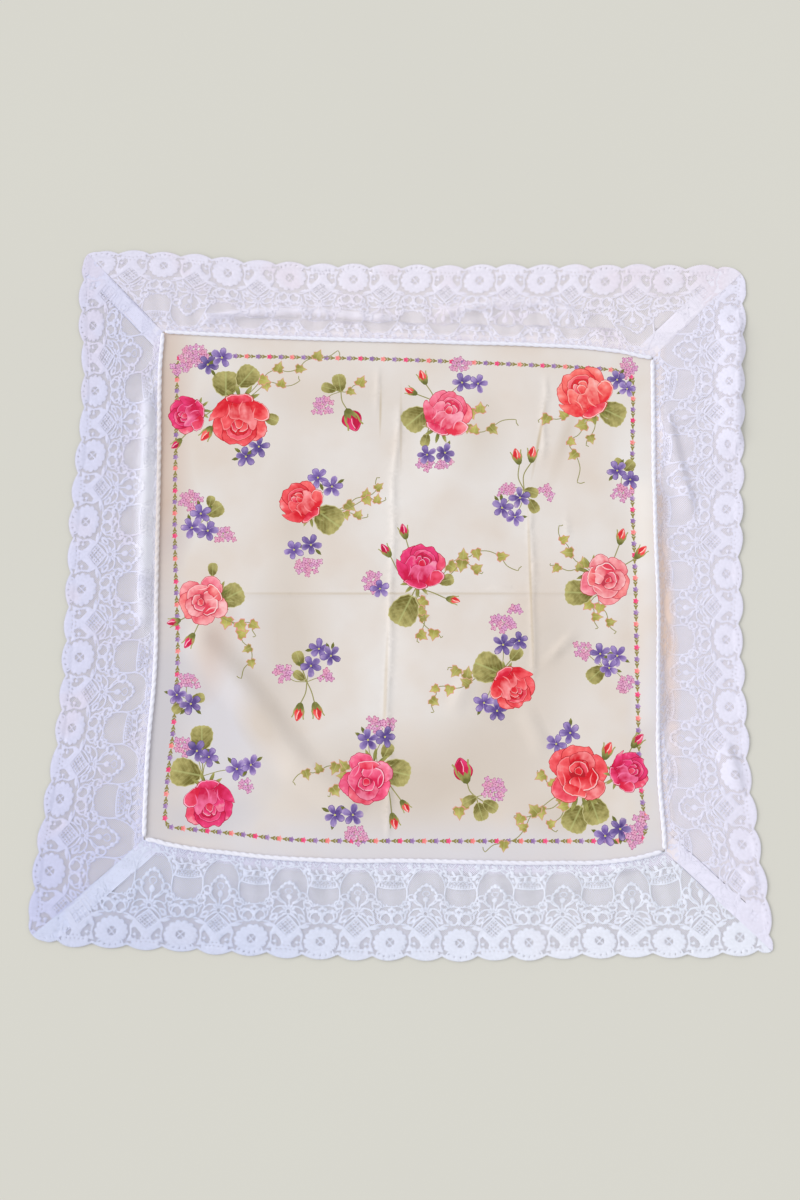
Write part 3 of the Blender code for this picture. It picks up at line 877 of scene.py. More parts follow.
# A petal of a printed rose: its ink, how much of it is turned over at the tip, where it starts, where
# its tip is, and its outline. x is across the rose and y is the way that it opens, in hundredths of
# its size.
RosePetal = namedtuple("RosePetal", "ink lip base tip outline")
CUP_ROSE = [
    RosePetal("warm", 0, (-5, 0), (-46, 28), [
        (-5, -5), (-30, -10), (-45, 4), (-50, 20), (-42, 34), (-27, 41), (-10, 30)]),
    RosePetal("main", 0, (5, 0), (45, 30), [
        (5, -5), (30, -12), (46, 2), (48, 20), (38, 36), (22, 42), (8, 30)]),
    RosePetal("main", 0, (0, 5), (2, 52), [
        (-24, 6), (-31, 26), (-24, 42), (-10, 50), (3, 46), (15, 50), (28, 38), (30, 20), (22, 4)]),
    RosePetal("cool", 0.06, (0, -2), (2, 44), [
        (-19, 4), (-24, 24), (-14, 36), (2, 40), (17, 34), (23, 20), (18, 2)]),
    RosePetal("deep", 0, (0, -2), (0, 36), [
        (-15, 4), (-17, 22), (-5, 31), (9, 30), (17, 18), (14, 2), (0, -5)]),
    RosePetal("main", 0.10, (-2, 2), (-8, 26), [
        (-12, 4), (-14, 18), (-8, 26), (0, 25), (-4, 16), (-4, 4)]),
    RosePetal("cool", 0.10, (6, 2), (10, 24), [
        (4, 0), (2, 14), (6, 26), (13, 22), (15, 10), (12, 0)]),
    RosePetal("warm", 0.12, (0, -2), (1, 20), [
        (-6, 0), (-6, 12), (0, 19), (6, 17), (7, 6), (4, -2)]),
    RosePetal("main", 0.07, (4, -40), (24, 22), [
        (-6, -38), (16, -36), (30, -20), (34, 2), (28, 20), (19, 22), (12, 8), (0, -2), (-8, -16)]),
    RosePetal("pale", 0.06, (2, -44), (-10, 16), [
        (8, -40), (-14, -38), (-29, -24), (-34, -2), (-29, 18), (-21, 22), (-13, 10), (0, 2), (12, 3),
        (20, -6), (16, -24)]),
    RosePetal("warm", 0.09, (-14, -28), (-54, -4), [
        (-27, -2), (-40, 4), (-51, -2), (-52, -16), (-42, -28), (-26, -36), (-12, -38), (-20, -22)]),
    RosePetal("main", 0, (14, -30), (56, 2), [
        (30, -4), (42, 0), (55, 6), (52, -10), (42, -26), (26, -38), (12, -38), (22, -22)]),
    RosePetal("cool", 0.12, (2, -26), (2, -50), [
        (-24, -36), (-12, -32), (5, -28), (24, -34), (28, -38), (18, -45), (2, -47), (-14, -45)]),
]
OPEN_ROSE = [
    RosePetal("main", 0, (-2, -2), (-46, 34), [
        (-6, 2), (-32, -2), (-47, 12), (-46, 30), (-32, 42), (-12, 40)]),
    RosePetal("warm", 0, (2, 4), (4, 52), [
        (-22, 16), (-24, 38), (-8, 49), (10, 47), (26, 42), (30, 22), (8, 4)]),
    RosePetal("main", 0, (4, 0), (52, 6), [
        (6, 12), (26, 30), (42, 26), (50, 8), (46, -12), (30, -20), (8, -10)]),
    RosePetal("pale", 0.06, (4, -6), (32, -46), [
        (10, 0), (32, -10), (44, -24), (38, -40), (20, -47), (4, -40), (-2, -14)]),
    RosePetal("cool", 0.05, (-4, -6), (-36, -42), [
        (-8, 0), (-34, -4), (-48, -18), (-44, -36), (-28, -46), (-8, -44), (2, -16)]),
    RosePetal("main", 0.08, (4, -4), (-36, 14), [
        (0, -20), (-20, -26), (-34, -10), (-36, 12), (-24, 28), (-6, 30), (-10, 10)]),
    RosePetal("pale", 0, (2, 0), (20, 40), [
        (-12, 16), (-10, 32), (6, 38), (22, 34), (32, 16), (24, 0), (6, 2)]),
    RosePetal("deep", 0, (2, -8), (2, 24), [
        (-15, 2), (-12, 18), (2, 24), (17, 18), (20, 4), (12, -10), (-4, -12)]),
    RosePetal("main", 0.10, (2, 4), (-12, 20), [
        (-13, 2), (-14, 14), (-4, 22), (7, 21), (-1, 14), (-6, 4)]),
    RosePetal("cool", 0.12, (2, 2), (18, 12), [
        (5, 21), (16, 17), (20, 5), (13, -7), (12, 5), (7, 12)]),
    RosePetal("warm", 0.12, (1, 4), (4, 12), [
        (-5, 1), (-3, 10), (4, 12), (9, 5), (4, -2)]),
    RosePetal("main", 0.12, (8, 2), (-4, -20), [
        (27, 6), (33, -8), (26, -24), (8, -31), (-12, -26), (-16, -10), (-5, -5), (8, -7), (16, -2)]),
    RosePetal("warm", 0.10, (-2, -12), (-14, -40), [
        (-24, -16), (-10, -20), (6, -30), (10, -40), (-4, -40), (-20, -34), (-30, -24)]),
]
ROSE_FORMS = {"cup": CUP_ROSE, "open": OPEN_ROSE}
GLINTS = [
    [(-27, -22), (-24, -8), (-27, 6)],
    [(22, -26), (20, -12), (25, 0)],
    [(-4, -34), (2, -20), (0, -6)],
]
SHADOW = 0.84  # how dark a contour is, as a part of the deep colour
WOBBLE = 0.014  # of the corners of a petal, as a part of the rose's size
RAGGED = 0.5  # of a petal's edge
BROAD_LIP = 0.08
LIP_WIDTH = 0.6
LIP_WHITE = (0.35, 0.9)  # how pale a narrow lip and a broad one are
GLINT_WIDTH = 1.3


def rose(found, chance, middle, size, turn, name, form):
    """A rose that opens towards turn, with its sepals behind."""
    ink = INKS[name]
    shade = np.array(ink.deep) * SHADOW
    light = blend(ink.light, ink.rim, 0.4)
    inks = {
        "main": ink, "warm": mixed(ink, INKS["coral"], 0.4), "cool": mixed(ink, INKS["pink"], 0.35),
        "deep": Ink(ink.deep, shade, ink.rim), "pale": Ink(light, ink.deep, ink.rim),
    }
    side = chance.choice([-1, 1])
    foot = middle - heading_vector(turn) * size * 0.3
    for lean in (-62, -30, 16, 50):
        heading = turn + 180 + lean
        sepal = leaf(foot + heading_vector(heading) * size * 0.24, heading, size * 0.30, size * 0.08)
        wash(found, "petal", sepal, INKS["calyx"], Lie(foot, heading, size * 0.4, size * 0.1))
    for row in form:
        outline = hundredths(row.outline)
        outline = outline + chance.uniform(-WOBBLE, WOBBLE, outline.shape)
        edge = curve(drawn(outline, middle, size, turn, side), 2.2, True)
        edge = edge + chance.uniform(-RAGGED, RAGGED, edge.shape)
        base, tip = drawn(hundredths([row.base, row.tip]), middle, size, turn, side)
        length = np.linalg.norm(tip - base)
        line(found, scaled(edge, edge.mean(axis=0), 1 + CONTOUR / length), shade)
        if row.lip:
            line(found, edge, blend(ink.light, ink.rim, LIP_WHITE[row.lip > BROAD_LIP]))
            edge = scaled(edge, base, 1 - LIP_WIDTH * row.lip)
        wash(found, "petal", edge, inks[row.ink], Lie(base, bearing(tip - base), length, size * 0.4))
    for points in GLINTS:
        path = curve(drawn(hundredths(points), middle, size, turn, side), 1.5)
        width = GLINT_WIDTH * np.sin(np.linspace(0.12, np.pi - 0.12, len(path)))[:, None]
        beside = turned(unit(np.gradient(path, axis=0))) * width / 2
        line(found, np.vstack([path - beside, (path + beside)[::-1]]), light)


# A closed bud from its stalk at y = -50 to its tip, the edge of its outer petal, and the leaves that
# clasp it
BUD_BODY = [
    (0, -35), (16, -28), (25, -6), (19, 20), (4, 50), (-11, 38), (-23, 10), (-23, -14), (-14, -30),
]
BUD_WRAP = [(-2, -35), (-18, -24), (-23, 0), (-14, 28), (3, 48), (4, 22), (-3, 0)]
BUD_EDGE = [(4, 40), (6, 16), (0, -4)]
BUD_SEPAL = [(14, -34), (27, -6), (27, 20), (33, 36)]
BUD_CUP = [
    (0, -54), (14, -46), (23, -28), (22, 2), (13, -18), (4, -4), (-5, -20), (-20, 8), (-23, -26),
    (-13, -46),
]
BUD_SHADOW = 0.86


def bud(found, middle, size, turn, name, wide):
    """A closed bud that points along turn, in its calyx."""
    ink, green = INKS[name], INKS["calyx"]
    shade = np.array(ink.deep) * BUD_SHADOW
    base = middle - heading_vector(turn) * size * 0.5

    def petal_edge(form):
        return curve(drawn(hundredths(form) * [wide, 1], middle, size, turn), 1.8, True)

    body, wrap = petal_edge(BUD_BODY), petal_edge(BUD_WRAP)
    line(found, scaled(body, middle, 1.06), shade)
    wash(found, "petal", body, ink, Lie(base, turn, size, size * 0.5))
    wash(found, "petal", wrap, Ink(ink.deep, shade, ink.rim), Lie(base, turn, size * 1.4, size * 0.5))
    line(found, ribbon(curve(drawn(hundredths(BUD_EDGE), middle, size, turn), 2), 0.7), ink.rim)
    for side in (-1, 1):
        sepal = drawn(hundredths(BUD_SEPAL), middle, size, turn, side)
        line(found, ribbon(curve(sepal, 2), size * 0.07), green.light)
    cup = drawn(hundredths(BUD_CUP), middle, size, turn)
    wash(found, "petal", cup, green, Lie(base, turn, size * 0.6, size * 0.5))


def petal(found, chance, ink, lie):
    """A broad petal, narrow at its base, with a dark or a pale contour."""
    angle = around(10)
    along = 0.5 - 0.5 * np.cos(angle)
    ripple = 1 + 0.03 * np.sin(3 * angle + chance.uniform(0, 6)) * along
    across = 0.5 * np.sin(angle) * (0.82 - 0.30 * np.cos(angle))
    form = np.column_stack([along * ripple, across * ripple])
    edge = ink.rim if chance.uniform() < 0.45 else ink.deep
    grow = 1 + CONTOUR / np.array([lie.length, lie.width])
    outlined(found, "petal", form, (0.5, 0), grow, ink, edge, lie)


def violet(found, chance, middle, size, turn):
    """Five rounded petals around a pale eye, and up to two green tips behind."""
    pale = mixed(INKS["violet"], INKS["lilac"], 0.14)
    dark = Ink(*(np.array(INKS["violet"]) * SHADOW))
    ink = mixed(pale, dark, chance.uniform(0, 1))
    for heading in chance.uniform(0, 360, chance.integers(0, 3)):
        base = middle + heading_vector(heading) * size * 0.58
        tip = leaf(base, heading, size * 0.5, size * 0.2, 7)
        wash(found, "petal", tip, INKS["calyx"], Lie(base, heading, 8, 3))
    for i in range(5):
        heading = turn + 72 * i + chance.uniform(-8, 8)
        base = middle + heading_vector(heading) * size * 0.04
        length, width = size * chance.uniform(0.50, 0.60), size * chance.uniform(0.34, 0.43)
        lit = mixed(ink, INKS["pale_violet"], chance.uniform(0, 0.5))
        petal(found, chance, lit, Lie(base, heading, length, width))
    for lean in (20, 140, 260):
        end = middle + heading_vector(turn + lean) * size * 0.13
        line(found, ribbon(np.array([middle, end]), size * 0.05), VIOLET_LINE)
    line(found, oval(middle, (size * 0.06, size * 0.06), 7), VIOLET_EYE)


def floret(found, middle, size, turn, ink):
    """A tiny flower with four petals."""
    angle = around(12) + np.pi / 12
    star = rotated(polar(angle, size / 2 * (0.58 + 0.48 * np.abs(np.cos(2 * angle)))), turn)
    line(found, star * 1.20 + middle, ink.rim)
    wash(found, "petal", star + middle, ink, Lie(middle, 0, size, size))
    line(found, oval(middle, (size * 0.11, size * 0.11), 4), ink.rim)


FLORET_PITCH = 5.3


def lilac(found, chance, middle, width, height):
    """A loose cluster of florets on fine green stalks."""
    spots = []
    for spot in lattice((-width / 2, -height / 2), (width / 2, height / 2), FLORET_PITCH):
        spot = spot + chance.uniform(-1.1, 1.1, 2)
        if (2 * spot[0] / width) ** 2 + (2 * spot[1] / height) ** 2 < chance.uniform(0.75, 1.25):
            spots.append(spot)
    for spot in spots[::3]:
        bend = middle + spot * 0.7 + chance.uniform(-1, 1, 2)
        path = curve([middle + spot * 0.2, bend, middle + spot * 1.08], 3)
        line(found, ribbon(path, 0.6), STALK)
    for spot in spots:
        ink = mixed(INKS["lilac"], INKS["orchid"], chance.uniform(0, 1))
        floret(found, middle + spot, chance.uniform(5.2, 6.6), chance.uniform(0, 90), ink)


TEETH = 14


def round_leaf(found, middle, length, width, heading):
    """A broad heart-shaped leaf with a finely toothed rim."""
    angle = around(2 * TEETH)
    along = 0.46 - 0.54 * np.cos(angle) - 0.10 * np.cos(2 * angle)
    across = 0.5 * np.sin(angle) * (1.06 + 0.12 * np.cos(angle))
    tooth = 1 + 0.025 * (np.arange(2 * TEETH) % 2 * 2 - 1)
    form = scaled(np.column_stack([along, across]), (0.45, 0), tooth[:, None])
    ink = INKS["leaf"]
    base = middle - heading_vector(heading) * length * 0.5
    outlined(found, "leaf", form, (0.5, 0), 1.06, ink, ink.rim, Lie(base, heading, length, width))


IVY_FORM = np.array([
    (0.0, 0.0), (-0.10, 0.26), (0.10, 0.52), (0.32, 0.36), (0.54, 0.44), (0.64, 0.20), (1.0, 0.0),
])


def ivy(found, chance, middle, size, heading):
    """A five-lobed leaf with a reddish rim."""
    ink = mixed(INKS["ivy"], INKS["leaf"], chance.uniform(0, 0.55))
    form = np.vstack([IVY_FORM, IVY_FORM[-2:0:-1] * [1, -1]]) * [1, chance.uniform(0.85, 1.1)]
    base = middle - heading_vector(heading) * size * 0.45
    outlined(found, "leaf", form, (0.4, 0), 1.17, ink, ink.rim, Lie(base, heading, size, size))


def stem(found, points, width, bend=0.0):
    """A stalk through points, which sways between them."""
    points = np.asarray(points, float)
    path = [points[0]]
    for i, (a, b) in enumerate(zip(points, points[1:])):
        path += [(a + b) / 2 + turned(b - a) * bend * (1 if i % 2 else -1), b]
    line(found, ribbon(curve(path, 3.0), width), STALK)


# The nosegays. px and py are the pixel of the photo where a flower or leaf has its middle, and its
# sizes in millimetres follow. The root, where all stalks meet, and the points of the tendrils are
# pixels too. Tendrils run out from the root, with an ivy leaf at each point but the last.
Nosegay = namedtuple("Nosegay", "root roses buds leaves violets lilacs tendrils", defaults=[()] * 6)
Rose = namedtuple("Rose", "px py size turn ink form", defaults=["cup"])
Bud = namedtuple("Bud", "px py size ink wide", defaults=[1.0])
Leaf = namedtuple("Leaf", "px py length width")
Violet = namedtuple("Violet", "px py size", defaults=[18])
Lilac = namedtuple("Lilac", "px py width height", defaults=[20, 19])
NOSEGAYS = [
    Nosegay(
        root=(226, 402),
        roses=[Rose(188, 415, 37, 205, "magenta"), Rose(240, 419, 56, 268, "red")],
        buds=[Bud(207, 434, 18, "coral"), Bud(177, 444, 14, "magenta")],
        leaves=[Leaf(226, 381, 24, 25), Leaf(249, 375, 23, 21), Leaf(273, 420, 14, 11)],
        violets=[Violet(208, 365), Violet(222, 358, 19), Violet(246, 457), Violet(259, 447)],
        lilacs=[Lilac(194, 357, 31, 27), Lilac(180, 368, 16, 14)],
        tendrils=[
            [(266, 384), (281, 386), (300, 381)],
            [(262, 380), (278, 370), (298, 369), (317, 358), (338, 351)],
        ],
    ),
    Nosegay(
        root=(341, 392),
        buds=[Bud(352, 420, 25, "magenta", 1.6)],
        leaves=[Leaf(339, 381, 17, 13), Leaf(327, 388, 14, 10)],
        lilacs=[Lilac(323, 406, 21, 23)],
        tendrils=[[(349, 391), (360, 384), (366, 381)]],
    ),
    Nosegay(
        root=(436, 402),
        roses=[Rose(447, 415, 48, 60, "blush")],
        buds=[Bud(423, 378, 16, "coral"), Bud(411, 392, 14, "coral")],
        leaves=[Leaf(413, 421, 25, 24), Leaf(425, 442, 13, 9)],
        violets=[Violet(462, 383, 17), Violet(478, 384, 17), Violet(427, 455, 17), Violet(445, 453, 17)],
        lilacs=[Lilac(459, 366, 22, 15), Lilac(425, 464, 18, 13), Lilac(443, 465, 18, 13)],
        tendrils=[[(470, 412), (480, 411), (487, 405)], [(468, 426), (474, 432), (491, 428), (516, 420)]],
    ),
    Nosegay(
        root=(592, 404),
        roses=[Rose(585, 394, 54, 122, "coral")],
        leaves=[Leaf(615, 415, 25, 24)],
        violets=[Violet(617, 380, 17), Violet(627, 389, 15)],
        lilacs=[Lilac(628, 368, 17, 20)],
        tendrils=[
            [(584, 425), (569, 441), (575, 454), (577, 483)],
            [(565, 417), (547, 418), (538, 421)], [(594, 417), (590, 437), (586, 446)],
        ],
    ),
    Nosegay(
        root=(627, 468),
        leaves=[Leaf(630, 465, 12, 10), Leaf(618, 462, 10, 7)],
        violets=[Violet(617, 471, 17), Violet(630, 480, 16)],
        lilacs=[Lilac(622, 492, 22, 16)],
    ),
    Nosegay(
        root=(524, 490),
        buds=[Bud(517, 457, 17, "coral"), Bud(532, 455, 17, "coral")],
        leaves=[Leaf(533, 493, 13, 10), Leaf(534, 508, 14, 10)],
        violets=[Violet(520, 498), Violet(502, 508), Violet(515, 517, 15)],
        lilacs=[Lilac(506, 491, 17, 15), Lilac(547, 492, 16, 16)],
    ),
    Nosegay(
        root=(316, 510),
        roses=[Rose(302, 503, 42, 130, "red")],
        leaves=[Leaf(331, 521, 27, 27)],
        violets=[Violet(318, 478), Violet(332, 487), Violet(294, 550, 17), Violet(311, 545)],
        lilacs=[Lilac(309, 566, 25, 18)],
        tendrils=[
            [(348, 505), (366, 497), (377, 489), (377, 478)], [(345, 513), (357, 517), (368, 517)],
            [(366, 499), (377, 502), (386, 500)],
        ],
    ),
    Nosegay(
        root=(207, 516),
        leaves=[Leaf(217, 509, 16, 15), Leaf(211, 500, 10, 8)],
        violets=[Violet(201, 514), Violet(192, 528), Violet(208, 531)],
        lilacs=[Lilac(190, 500, 22, 19), Lilac(225, 535, 20, 18)],
    ),
    Nosegay(
        root=(416, 588),
        roses=[Rose(421, 568, 46, 75, "magenta")],
        buds=[Bud(386, 551, 16, "magenta"), Bud(404, 532, 16, "magenta"), Bud(453, 600, 14, "coral")],
        leaves=[Leaf(403, 614, 29, 26), Leaf(448, 580, 14, 11)],
        violets=[Violet(380, 589, 16)],
        lilacs=[Lilac(373, 583, 20, 20)],
        tendrils=[
            [(424, 601), (421, 618), (434, 632), (441, 638)], [(423, 610), (420, 634), (417, 642)],
            [(450, 566), (463, 558), (476, 552), (500, 557), (518, 571)],
            [(462, 563), (475, 570), (482, 574)],
        ],
    ),
    Nosegay(
        root=(600, 594),
        roses=[Rose(606, 580, 48, 330, "salmon", "open")],
        buds=[Bud(621, 537, 17, "coral"), Bud(640, 553, 16, "coral")],
        leaves=[Leaf(575, 593, 25, 23)],
        tendrils=[
            [(584, 566), (570, 553), (562, 541), (559, 526)], [(579, 570), (558, 567), (550, 566)],
            [(590, 604), (594, 617), (598, 628)], [(600, 606), (608, 623), (616, 632)],
        ],
    ),
    Nosegay(
        root=(212, 606),
        roses=[Rose(203, 601, 47, 195, "salmon", "open")],
        buds=[Bud(174, 622, 14, "magenta"), Bud(190, 641, 17, "magenta")],
        leaves=[Leaf(234, 595, 24, 22), Leaf(213, 568, 12, 9)],
        tendrils=[
            [(227, 620), (240, 634), (250, 648), (251, 661), (242, 679)],
            [(240, 624), (252, 624), (256, 636)],
        ],
    ),
    Nosegay(
        root=(307, 682),
        buds=[Bud(299, 712, 18, "coral"), Bud(317, 711, 18, "coral")],
        leaves=[Leaf(298, 657, 14, 11), Leaf(298, 675, 12, 8)],
        violets=[Violet(319, 649, 17), Violet(331, 656, 17), Violet(311, 666, 18)],
        lilacs=[Lilac(284, 673, 18, 18), Lilac(327, 676, 16, 16)],
    ),
    Nosegay(
        root=(500, 673),
        roses=[Rose(512, 687, 42, 305, "red")],
        leaves=[Leaf(485, 667, 27, 28), Leaf(517, 653, 14, 11)],
        violets=[Violet(503, 645), Violet(519, 641, 16), Violet(484, 703, 17), Violet(497, 711, 18)],
        lilacs=[Lilac(503, 623, 24, 17), Lilac(514, 610, 14, 12)],
        tendrils=[
            [(468, 684), (450, 688), (437, 688), (432, 700), (434, 712)],
            [(467, 676), (457, 670), (448, 668)],
        ],
    ),
    Nosegay(
        root=(603, 668),
        leaves=[Leaf(594, 676, 18, 15)],
        violets=[Violet(600, 654, 17), Violet(617, 656, 17), Violet(609, 668, 16)],
        lilacs=[Lilac(583, 650, 18, 18), Lilac(625, 683, 19, 17)],
    ),
    Nosegay(
        root=(188, 700),
        leaves=[Leaf(177, 709, 12, 9), Leaf(200, 698, 12, 9)],
        violets=[Violet(177, 695, 16), Violet(191, 704, 18)],
        lilacs=[Lilac(189, 681, 20, 18)],
    ),
    Nosegay(
        root=(203, 776),
        roses=[Rose(209, 803, 46, 278, "magenta")],
        leaves=[Leaf(202, 735, 22, 20), Leaf(182, 772, 27, 25)],
        violets=[Violet(197, 751), Violet(209, 757, 16), Violet(237, 769), Violet(251, 765, 17)],
        lilacs=[Lilac(183, 746, 17, 17), Lilac(246, 784, 16, 14)],
    ),
    Nosegay(
        root=(378, 768),
        roses=[Rose(367, 780, 48, 245, "pink", "open")],
        buds=[Bud(394, 821, 16, "coral"), Bud(405, 806, 14, "coral")],
        leaves=[Leaf(399, 773, 27, 24), Leaf(388, 749, 14, 11)],
        violets=[Violet(368, 740), Violet(385, 737, 17), Violet(335, 815, 18), Violet(353, 815, 18)],
        lilacs=[Lilac(375, 725, 17, 15), Lilac(390, 724, 14, 14), Lilac(358, 834, 22, 17)],
        tendrils=[
            [(345, 768), (336, 766), (320, 771), (306, 772), (293, 782)],
            [(345, 776), (334, 789), (330, 797)],
        ],
    ),
    Nosegay(
        root=(476, 797),
        buds=[Bud(463, 771, 25, "magenta", 1.45)],
        leaves=[Leaf(481, 814, 16, 13), Leaf(492, 807, 14, 11), Leaf(468, 801, 13, 9)],
        lilacs=[Lilac(494, 788, 22, 22)],
        tendrils=[[(468, 804), (459, 810), (453, 812)]],
    ),
    Nosegay(
        root=(588, 792),
        roses=[Rose(578, 774, 56, 95, "red", "open"), Rose(628, 772, 37, 20, "magenta")],
        buds=[Bud(607, 751, 18, "coral"), Bud(637, 741, 17, "pink")],
        leaves=[Leaf(574, 822, 24, 23), Leaf(596, 814, 24, 23)],
        violets=[Violet(570, 733), Violet(556, 744, 17), Violet(605, 836, 18), Violet(620, 829, 18)],
        lilacs=[Lilac(632, 835, 20, 22), Lilac(641, 820, 12, 16)],
        tendrils=[
            [(562, 800), (540, 810), (525, 828), (504, 843), (485, 852)],
            [(552, 785), (543, 775), (537, 772)],
            [(566, 806), (549, 825), (556, 832)], [(536, 812), (521, 817), (514, 816)],
        ],
    ),
]

# The line of tiny flowers, by the pixels it passes through, and what comes in turn along it
BORDER = [
    (178, 364), (182, 357.5), (192, 356), (237, 356.5), (410, 360.5), (596, 369), (622, 373.5),
    (630, 376), (633, 383), (633, 401), (632, 490), (635, 580), (636, 634), (639, 759), (644, 818),
    (645, 831), (641, 838), (628, 840), (596, 841), (408, 841), (301, 840), (229, 833), (184, 828.5),
    (171, 827), (166, 822), (165.5, 812), (168, 776), (174, 723), (178, 651), (175, 530), (177, 400),
]
BORDER_TURNS = ["hot_pink", "mauve", "pale_coral", "mauve"]
BORDER_PITCH = 11.6
BORDER_PLACES = (0.5, 0.80, 1.06, 1.24)  # of a flower and its leaves, as parts of the pitch
BLOOM = 3.3  # from a flower's middle to its tips

# Its leaves: which of the places each is at, how it leans, and its length
BORDER_LEAVES = [(1, 138, 4.6), (1, -138, 4.6), (2, 142, 4.6), (2, -142, 4.6), (3, 180, 3.4)]


def border(found):
    """Tiny five-petalled flowers with leaves between them, all along the line."""
    path = curve([from_image(*p) for p in BORDER], 2.0, True)
    path = np.vstack([path, path[:1]])
    run = np.concatenate([[0], np.cumsum(np.linalg.norm(np.diff(path, axis=0), axis=1))])
    count = round(run[-1] / BORDER_PITCH / 4) * 4
    pitch = run[-1] / count
    angle = around(15)
    bloom = polar(angle, BLOOM * (0.76 + 0.24 * np.cos(5 * angle)))
    for i in range(count):
        places = [pitch * (i + part) % run[-1] for part in BORDER_PLACES]
        spots = [np.array([np.interp(r, run, path[:, k]) for k in (0, 1)]) for r in places]
        heading = bearing(spots[2] - spots[1])
        for spot, lean, length in BORDER_LEAVES:
            middle = spots[spot] + heading_vector(heading + lean) * 1.1
            line(found, leaf(middle, heading + lean, length, 2.0, 6), BORDER_LEAF)
        ink = INKS[BORDER_TURNS[i % 4]]
        wash(found, "petal", bloom + spots[0], ink, Lie(spots[0] - [3, 0], 0, 6, 6))
        line(found, oval(spots[0], (0.7, 0.7), 6), ink.deep)


LONGEST_STALK = 34.0  # of a small flower, where it is drawn at all
FLOWER_STALK, TENDRIL, BUD_STALK, LEAF_STALK = 0.8, 0.9, 1.1, 1.2  # their widths
SWAY = 0.13  # of a tendril between its points
HOOK = 0.25  # how sharply it turns at its end
IVY_OFF = 3.2  # from it to the middle of a leaf
IVY_SIZES = (8.6, 11.8)


def nosegay(found, chance, rows):
    """The flowers and leaves around one root, the farthest back first."""
    root = from_image(*rows.root)
    for row in (*rows.lilacs, *rows.violets):
        spot = from_image(row.px, row.py)
        if np.linalg.norm(spot - root) < LONGEST_STALK:
            stem(found, [root, spot], FLOWER_STALK, chance.uniform(-0.2, 0.2))
    for row in rows.lilacs:
        lilac(found, chance, from_image(row.px, row.py), row.width, row.height)
    for path in rows.tendrils:
        spots = [from_image(*p) for p in path]
        hook = spots[-1] + turned(spots[-1] - spots[-2]) * chance.choice([-HOOK, HOOK])
        stem(found, [root, *spots, hook], TENDRIL, SWAY)
        for i, spot in enumerate(spots[:-1]):
            side = 1 if i % 2 else -1
            heading = bearing(spots[i + 1] - spot) + side * chance.uniform(35, 75)
            middle = spot + heading_vector(heading) * IVY_OFF
            ivy(found, chance, middle, chance.uniform(*IVY_SIZES), heading)
    for row in rows.buds:
        spot = from_image(row.px, row.py)
        heading = bearing(spot - root) + chance.uniform(-8, 8)
        base = spot - heading_vector(heading) * row.size * 0.5
        stem(found, [root, base], BUD_STALK, chance.uniform(-0.15, 0.15))
        bud(found, spot, row.size, heading, row.ink, row.wide)
    for row in rows.leaves:
        spot = from_image(row.px, row.py)
        stem(found, [root, spot], LEAF_STALK)
        round_leaf(found, spot, row.length, row.width, bearing(spot - root))
    for row in rows.violets:
        violet(found, chance, from_image(row.px, row.py), row.size, chance.uniform(0, 72))
    for row in rows.roses:
        rose(found, chance, from_image(row.px, row.py), row.size, row.turn, row.ink, ROSE_FORMS[row.form])


def panel_outline(pitch, out):
    """The seam line around the panel, moved out by a distance."""
    found = []
    for side in SIDES:
        count = int(seam_length(side) / pitch)
        found.append(seam_point(side, np.arange(count) / count, out))
    return np.vstack(found)


def fold_points(pitch):
    """Points on the crest, the flanks and the feet of every fold."""
    found = []
    for fold in FOLDS:
        route = np.array(fold.route, float)
        for a, b in zip(route, route[1:]):
            length = np.linalg.norm(b - a)
            direction = (b - a) / length
            run = np.arange(0, length, pitch)[:, None] * direction + a
            for reach in (0, 0.5, 1):
                found.append(run + turned(direction) * fold.left * reach)
                if reach:
                    found.append(run - turned(direction) * fold.right * reach)
    return np.vstack(found)


def in_panel(points, margin):
    """Which points lie in the panel, clear of its edge."""
    outline = panel_outline(12, -margin)
    after = np.roll(outline, -1, axis=0)
    inside = np.zeros(len(points), bool)
    for a, b in zip(outline, after):
        crosses = (a[1] > points[:, 1]) != (b[1] > points[:, 1])
        rise = b[1] - a[1] if b[1] != a[1] else 1e-9
        inside ^= crosses & (points[:, 0] < a[0] + (points[:, 1] - a[1]) * (b[0] - a[0]) / rise)
    return inside


def srgb(colour):
    """Linear values for a colour picked from 0 to 255."""
    c = np.asarray(colour, float) / 255
    return np.where(c > 0.04045, ((c + 0.055) / 1.055) ** 2.4, c / 12.92)


PANEL_RISE = 0.5
PANEL_REACH = (262, 276)  # clear of the panel on all sides
PANEL_PITCH = 5.0
DRAWING = 7  # picks how every petal and stalk varies


